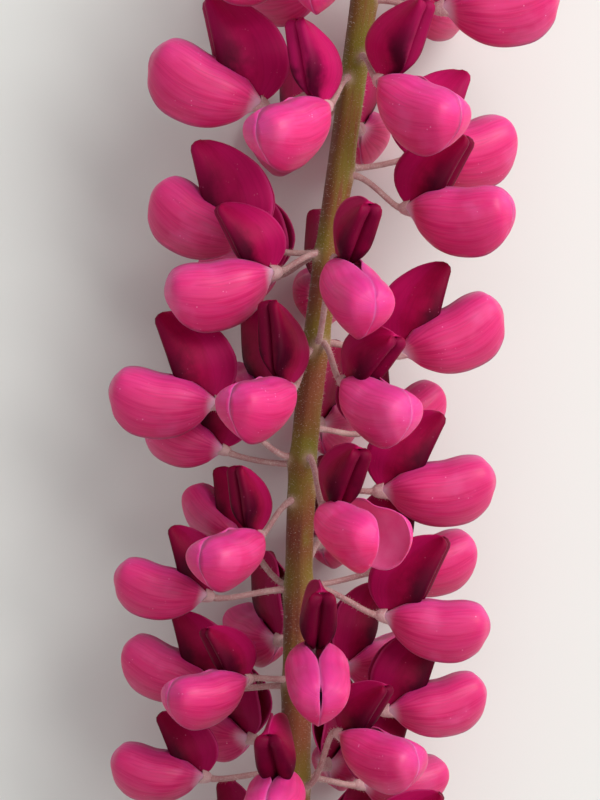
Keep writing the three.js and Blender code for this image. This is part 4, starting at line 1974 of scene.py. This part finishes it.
@dataclass(frozen=True)
class YoungWhorl:
    """One ring of shut flowers.

    Attributes:
        height: where it is on the stem.
        turn: how far round it is turned, in degrees.
        length: its flowers'.
        rise: how far they point up, in degrees.
        youth: how young they are, from 0 to 1.
    """

    height: float
    turn: float
    length: float
    rise: float
    youth: float


@dataclass
class YoungTop:
    """The whorls above the open flowers, closer and smaller towards the tip, as the part has them.

    The last few, which only this model has, fill the tip that the part makes as one bud.

    Attributes:
        first, whorls: the height of the lowest whorl, and how many there are below the tip's own.
        first_spacing, spacing_ratio: the room between the first two, and how it shrinks from there.
        per_whorl: flowers to a whorl.
        turn: how far each whorl is turned from the one below, in degrees.
        first_length, last_length: how long the lowest whorl's flowers are, and the highest one's.
        shrinking: below 1, how soon they get shorter.
        first_rise, last_rise: how far they point up, in degrees, likewise.
        last_youth: how young the highest of these whorls is.
        foot_depth: how far out in the stem they start, in its radii.
        tip_heights, tip_length: the heights of the tip's own whorls, and how long their flowers are.
        bracts_from: the number of the last whorl without bracts.
        overtopping: how long a bract is beside its bud.
        bud, bract: what the whorls hold.
        tree: the geometry tree that sets a ring of them around the stem.
    """

    first: float = 76
    whorls: int = 8
    first_spacing: float = 9
    spacing_ratio: float = 0.84
    per_whorl: int = 6
    turn: float = 31
    first_length: float = 18
    last_length: float = 5
    shrinking: float = 0.8
    first_rise: float = 20
    last_rise: float = 78
    last_youth: float = 0.8
    foot_depth: float = 0.4
    tip_heights: tuple[float, ...] = (117.4, 118.8, 119.9)
    tip_length: float = 3.6
    bracts_from: int = 3
    overtopping: float = 1.12
    bud: Bud = Bud()
    bract: Bract = Bract()
    tree: Grower = field(init=False)

    def __post_init__(self) -> None:
        """Builds the tree."""
        place = {"Right": float, "Up": float, "Front": float}
        tree = Grower("whorl", Count=int, Radius=float, Rise=float, Turn=float, Size=float, Seed=int, **place)
        given = tree.given
        ring = tree.node("GeometryNodeMeshCircle", {"Vertices": given["Count"], "Radius": given["Radius"]})
        index = tree.node("GeometryNodeInputIndex").outputs[0]
        angle = tree.maths("DIVIDE", tree.times(index, FULL_TURN), given["Count"])
        jitter = tree.random(-0.1, 0.1, given["Seed"])
        euler = tree.vector(jitter, tree.maths("SUBTRACT", jitter, given["Rise"]), angle)
        buds = tree.node(
            "GeometryNodeInstanceOnPoints",
            {
                "Points": ring.outputs[0],
                "Instance": given["Geometry"],
                "Rotation": tree.node("FunctionNodeEulerToRotation", {0: euler}).outputs[0],
                "Scale": tree.times(tree.random(0.9, 1.04, given["Seed"]), given["Size"]),
            },
        )
        spin = tree.vector(z=given["Turn"])
        spun = tree.node("GeometryNodeTransform", {"Geometry": buds.outputs[0], "Rotation": spin})
        where = tree.vector(given["Right"], given["Up"], given["Front"])
        upright = {"Translation": where, "Rotation": (-math.pi / 2, 0, 0)}
        placed = tree.node("GeometryNodeTransform", {"Geometry": spun.outputs[0], **upright})
        tree.end(placed.outputs[0])
        self.tree = tree

    def rings(self) -> list[YoungWhorl]:
        """Every whorl of the young top, from below.

        Returns:
            The whorls.
        """
        rings, height, spacing = [], self.first, self.first_spacing
        for k in range(self.whorls):
            share = k / (self.whorls - 1)
            length = lerp(self.first_length, self.last_length, share**self.shrinking)
            rise = lerp(self.first_rise, self.last_rise, share)
            rings.append(YoungWhorl(height, self.turn * k, length, rise, share * self.last_youth))
            height += spacing
            spacing *= self.spacing_ratio
        for k, height in enumerate(self.tip_heights, self.whorls):
            rings.append(YoungWhorl(height, self.turn * k, self.tip_length, self.last_rise, 1.0))
        return rings

    def nodes(self) -> list[tuple[float, float]]:
        """The height and angle of each young flower's foot on the stem."""
        step = 360 / self.per_whorl
        return [(ring.height, step * i + ring.turn) for ring in self.rings() for i in range(self.per_whorl)]

    def placed(
        self, shape: Shape, ring: YoungWhorl, finish: Material, seed: int, size: float
    ) -> Mesh:
        """A ring of copies of a shape of length 1, around the stem.

        Args:
            shape: the shape.
            ring: the whorl.
            finish: its material.
            seed: of its unevenness.
            size: the copies' length.

        Returns:
            The copies as one mesh.
        """
        template = shape.marked("youth", ring.youth).mesh("template")
        template.transform(Matrix.Translation(-Vector(ORIGIN * MM)))
        right, up, front = (LINE.middle(ring.height) + ORIGIN) * MM
        made = self.tree.grow(
            template,
            count=self.per_whorl,
            radius=self.foot_depth * LINE.radius_at(ring.height) * MM,
            rise=math.radians(ring.rise),
            turn=math.radians(ring.turn - 90),
            size=size,
            right=right,
            up=up,
            front=front,
            seed=seed,
            finish=finish,
        )
        made.polygons.foreach_set("use_smooth", [True] * len(made.polygons))
        return made

    def build(self, palette: Palette, hairs: Hairs) -> None:
        """Makes each whorl's petals, cups and bracts as a piece each, and the hairs of them all.

        Args:
            palette: the materials.
            hairs: what grows on it.
        """
        skins = []
        for number, ring in enumerate(self.rings(), 1):
            parts = [
                ("petals", self.bud.petals(), palette.buds, "buds", 1),
                ("cups", self.bud.cup(), palette.calyx, "calyx", 1),
                ("bracts", self.bract.shape(), palette.calyx, "calyx", self.overtopping),
            ]
            for part, shape, finish, slot, share in parts if number > self.bracts_from else parts[:2]:
                mesh = self.placed(shape, ring, finish, number, ring.length * share)
                dress(make(f"young_{number}_{part}", mesh, finish), slot)
                skins.append(mesh)
        hairs.grow("young_hairs", merged(skins), "buds", density=1.6, length=0.6)


def merged(meshes: Sequence[Mesh]) -> Mesh:
    """Several meshes as a new one.

    Args:
        meshes: what to join.

    Returns:
        The whole, without finishes.
    """
    points, faces, shift = [], [], 0
    for mesh in meshes:
        points += [tuple(v.co) for v in mesh.vertices]
        faces += [tuple(i + shift for i in p.vertices) for p in mesh.polygons]
        shift += len(mesh.vertices)
    whole = bpy.data.meshes.new("skins")
    whole.from_pydata(points, [], faces)
    return whole


# ---- The stem ----


def mound(up: np.ndarray, side: np.ndarray, tall: float, wide: float) -> np.ndarray:
    """A soft bump, 1 in its middle, over heights and widths measured from there."""
    return np.exp(-((up / tall) ** 2) - (side / wide) ** 2)


@dataclass(frozen=True)
class Stem:
    """The stem's skin, with faint ribs, a swelling under each stalk and a cut end.

    Attributes:
        rib, ribs: how far the ribs stand out, and how many there are.
        rib_twist: how far they turn in a millimetre, in radians.
        swelling, swelling_size: how far the stem swells at a stalk's foot, and its reach up and around.
        keel, keel_length, keel_width: the ridge that runs down from it.
        green_above, green_size: how far above a stalk's foot it is greenest, and the green's reach.
        scar_below, scar_size: how far below a stalk's foot its pale scar is, and the scar's reach.
        ring_spacing, sides: the room between the rings of its points, and how many a ring has.
        cut_shares, cut_hollow: the rings of the cut end, as shares of its radius, and its hollow.
        tip_shares, tip_height: the rings of the tip, likewise, and how far it is rounded.
    """

    rib: float = 0.035
    ribs: int = 5
    rib_twist: float = 0.012
    swelling: float = 0.192
    swelling_size: Range = (1.3, 1.1)
    keel: float = 0.16
    keel_length: float = 7.0
    keel_width: float = 0.55
    green_above: float = 1.5
    green_size: Range = (3.5, 3)
    scar_below: float = 0.2
    scar_size: Range = (0.75, 0.8)
    ring_spacing: float = 0.8
    sides: int = 40
    cut_shares: tuple[float, ...] = (0.04, 0.3, 0.6, 0.84, 0.95)
    cut_hollow: float = 0.5
    tip_shares: tuple[float, ...] = (0.8, 0.5, 0.15)
    tip_height: float = 0.7

    def shape(self, nodes: Sequence[tuple[float, float]]) -> Shape:
        """The stem in the spike's frame.

        Args:
            nodes: the height and angle of each stalk's foot.

        Returns:
            The stem. Its first material slot is its skin and its second is the cut end. Its marks are
            "node" and "scar" near the stalks, and "right" and "front" for the way that a point faces.
        """
        count = round((LINE.top - LINE.cut_end) / self.ring_spacing) + 1
        heights = np.linspace(LINE.cut_end, LINE.top, count)[:, None]
        angles = np.linspace(-math.pi, math.pi, self.sides, endpoint=False)
        radius = LINE.radius_at(heights) + self.rib * np.cos(self.ribs * (angles + self.rib_twist * heights))
        node, scar = np.zeros_like(radius), np.zeros_like(radius)
        for height, around in nodes:
            off = (angles - math.radians(around) + math.pi) % FULL_TURN - math.pi
            side, up = off * LINE.radius_at(height), heights - height
            below = np.exp(np.minimum(up, 0) / self.keel_length) * bell(side, self.keel_width) * (up < 0)
            radius += self.swelling * mound(up, side, *self.swelling_size) + self.keel * below
            node = np.maximum(node, mound(up - self.green_above, side, *self.green_size))
            scar = np.maximum(scar, mound(up + self.scar_below, side, *self.scar_size))
        cut, tip = np.array(self.cut_shares)[:, None], np.array(self.tip_shares)[:, None]
        cut_heights, tip_heights = self.cut_hollow * (1 - cut**2), self.tip_height * (1 - tip)
        height = np.vstack([LINE.cut_end + cut_heights, heights, LINE.top + tip_heights])
        radius = np.vstack([radius[:1] * cut, radius, radius[-1:] * tip])
        right, front = np.sin(angles), np.cos(angles)
        points = np.dstack([LINE.x_at(height) + radius * right, height + 0 * radius, radius * front])
        along = np.vstack([cut, heights - LINE.cut_end, 0 * tip])
        skin = sheet(points, grid(along, angles / FULL_TURN + 0.5), closed=True)
        skin.slots = [int(i < len(cut) * self.sides) for i in range(len(skin.faces))]
        ends = [(len(cut), len(tip)), (0, 0)]
        skin.marks = {
            "node": np.pad(node, ends).ravel(),
            "scar": np.pad(scar, ends).ravel(),
            "right": np.tile(right, len(height)),
            "front": np.tile(front, len(height)),
        }
        return skin.capped(self.sides, (1, 0)).flipped()

    def build(self, nodes: Sequence[tuple[float, float]], palette: Palette, hairs: Hairs) -> None:
        """Makes the stem and its hairs.

        Args:
            nodes: its stalks' places.
            palette: the materials.
            hairs: what grows on it.
        """
        shape = self.shape(nodes)
        dress(make("flower_stem", shape.mesh("stem"), palette.stem, palette.cut), "stem", ["stem"])
        hairs.grow("flower_stem_hairs", shape.mesh("skin"), "stem", density=3.4, length=0.45)


# ---- The studio ----


@dataclass(frozen=True)
class Lamp:
    """A soft square lamp that faces the spike.

    Attributes:
        name: its name.
        place: where it is, from the middle of the spike, in metres.
        size: its side, in metres.
        power: in watts.
    """

    name: str
    place: tuple[float, float, float]
    size: float
    power: float

    def hang(self, middle: Vector) -> None:
        """Hangs it over the middle of the spike.

        Args:
            middle: the spike's, in metres.
        """
        light = bpy.data.lights.new(self.name, "AREA")
        light.size, light.energy = self.size, self.power
        lamp = bpy.data.objects.new(self.name, light)
        lamp.location = middle + Vector(self.place)
        lamp.rotation_euler = (-Vector(self.place)).to_track_quat("-Z", "Y").to_euler()
        bpy.context.scene.collection.objects.link(lamp)


@dataclass(frozen=True)
class Studio:
    """A plain pale floor, soft light and the camera, which looks straight down on the spike.

    Attributes:
        distance: how far the camera is above the stem, in metres.
        view_height: how much of the spike's length it takes in, in metres.
        sensor: the camera's sensor width, in millimetres.
        floor_size, floor_colour, floor_roughness: the floor's side, in metres, and its finish.
        sky_colour, sky_strength: the light from all round.
        lamps: the lamps.
    """

    distance: float = 0.380
    view_height: float = 0.112
    sensor: float = 36.0
    floor_size: float = 3.0
    floor_colour: Colour = srgb(224, 224, 219)
    floor_roughness: float = 0.9
    sky_colour: Colour = srgb(250, 252, 255)
    sky_strength: float = 0.4
    lamps: tuple[Lamp, ...] = (
        Lamp("key", (0.56, 0.38, 0.56), 0.7, 8.8),
        Lamp("fill", (0.1, -0.4, 0.78), 0.9, 2.1),
    )

    def build(self) -> None:
        """Makes the floor, the lights, the world and the camera."""
        middle = Vector(ORIGIN * MM)
        self.floor()
        for lamp in self.lamps:
            lamp.hang(middle)
        self.sky()
        self.camera(middle)
        bpy.context.scene.view_settings.view_transform = "Standard"

    def floor(self) -> None:
        """Lays the floor at the height that the spike rests on."""
        half = self.floor_size / 2
        corners = [(x * half, y * half, 0) for x, y in ((-1, -1), (1, -1), (1, 1), (-1, 1))]
        mesh = bpy.data.meshes.new("floor")
        mesh.from_pydata(corners, [], [(0, 1, 2, 3)])
        material = bpy.data.materials.new("floor")
        material.use_nodes = True
        shader = material.node_tree.nodes["Principled BSDF"]
        shader.inputs["Base Color"].default_value = self.floor_colour
        shader.inputs["Roughness"].default_value = self.floor_roughness
        make("floor", mesh, material)

    def sky(self) -> None:
        """Lights the scene evenly from all round."""
        world = bpy.data.worlds.new("sky")
        world.use_nodes = True
        background = world.node_tree.nodes["Background"]
        background.inputs["Color"].default_value = self.sky_colour
        background.inputs["Strength"].default_value = self.sky_strength
        bpy.context.scene.world = world

    def camera(self, middle: Vector) -> None:
        """Sets the camera above the stem, with the tip of the spike up.

        Args:
            middle: the spike's, in metres.
        """
        data = bpy.data.cameras.new("camera")
        data.sensor_width = self.sensor
        data.lens = self.sensor * self.distance / self.view_height
        data.clip_start, data.clip_end = 0.01, 10
        camera = bpy.data.objects.new("camera", data)
        camera.location = middle + Vector((0, 0, self.distance))
        bpy.context.scene.collection.objects.link(camera)
        bpy.context.scene.camera = camera


# ---- The spike ----


def check_fit() -> None:
    """Logs the flowers whose petals reach well outside their CAD nodes' boxes."""
    loose = 1.5
    for number, places in enumerate(WHORLS, 1):
        for name in (f"flower_{number}_{i}" for i in range(1, len(places) + 1)):
            low, high = (np.array(corner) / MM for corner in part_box(name))
            for part in ("wings", "banner"):
                points = np.array([v.co for v in bpy.data.objects[f"{name}_{part}"].data.vertices]) / MM
                beyond = max((low - points.min(axis=0)).max(), (points.max(axis=0) - high).max())
                if beyond > loose:
                    LOG.warning("%s_%s reaches %.1f mm outside its CAD box", name, part, beyond)


def main() -> None:
    """Builds the spike and the studio."""
    logging.basicConfig(level=logging.INFO, format="%(name)s: %(message)s")
    palette = Palette()
    hairs = Hairs(palette.hairs)
    top = YoungTop()
    nodes = [(place.node, place.around) for places in WHORLS for place in places]
    Stem().build(nodes + top.nodes(), palette, hairs)
    for number, places in enumerate(WHORLS, 1):
        Whorl(number, places).build(palette, hairs)
    top.build(palette, hairs)
    Studio().build()
    check_fit()


if __name__ == "__main__":
    main()
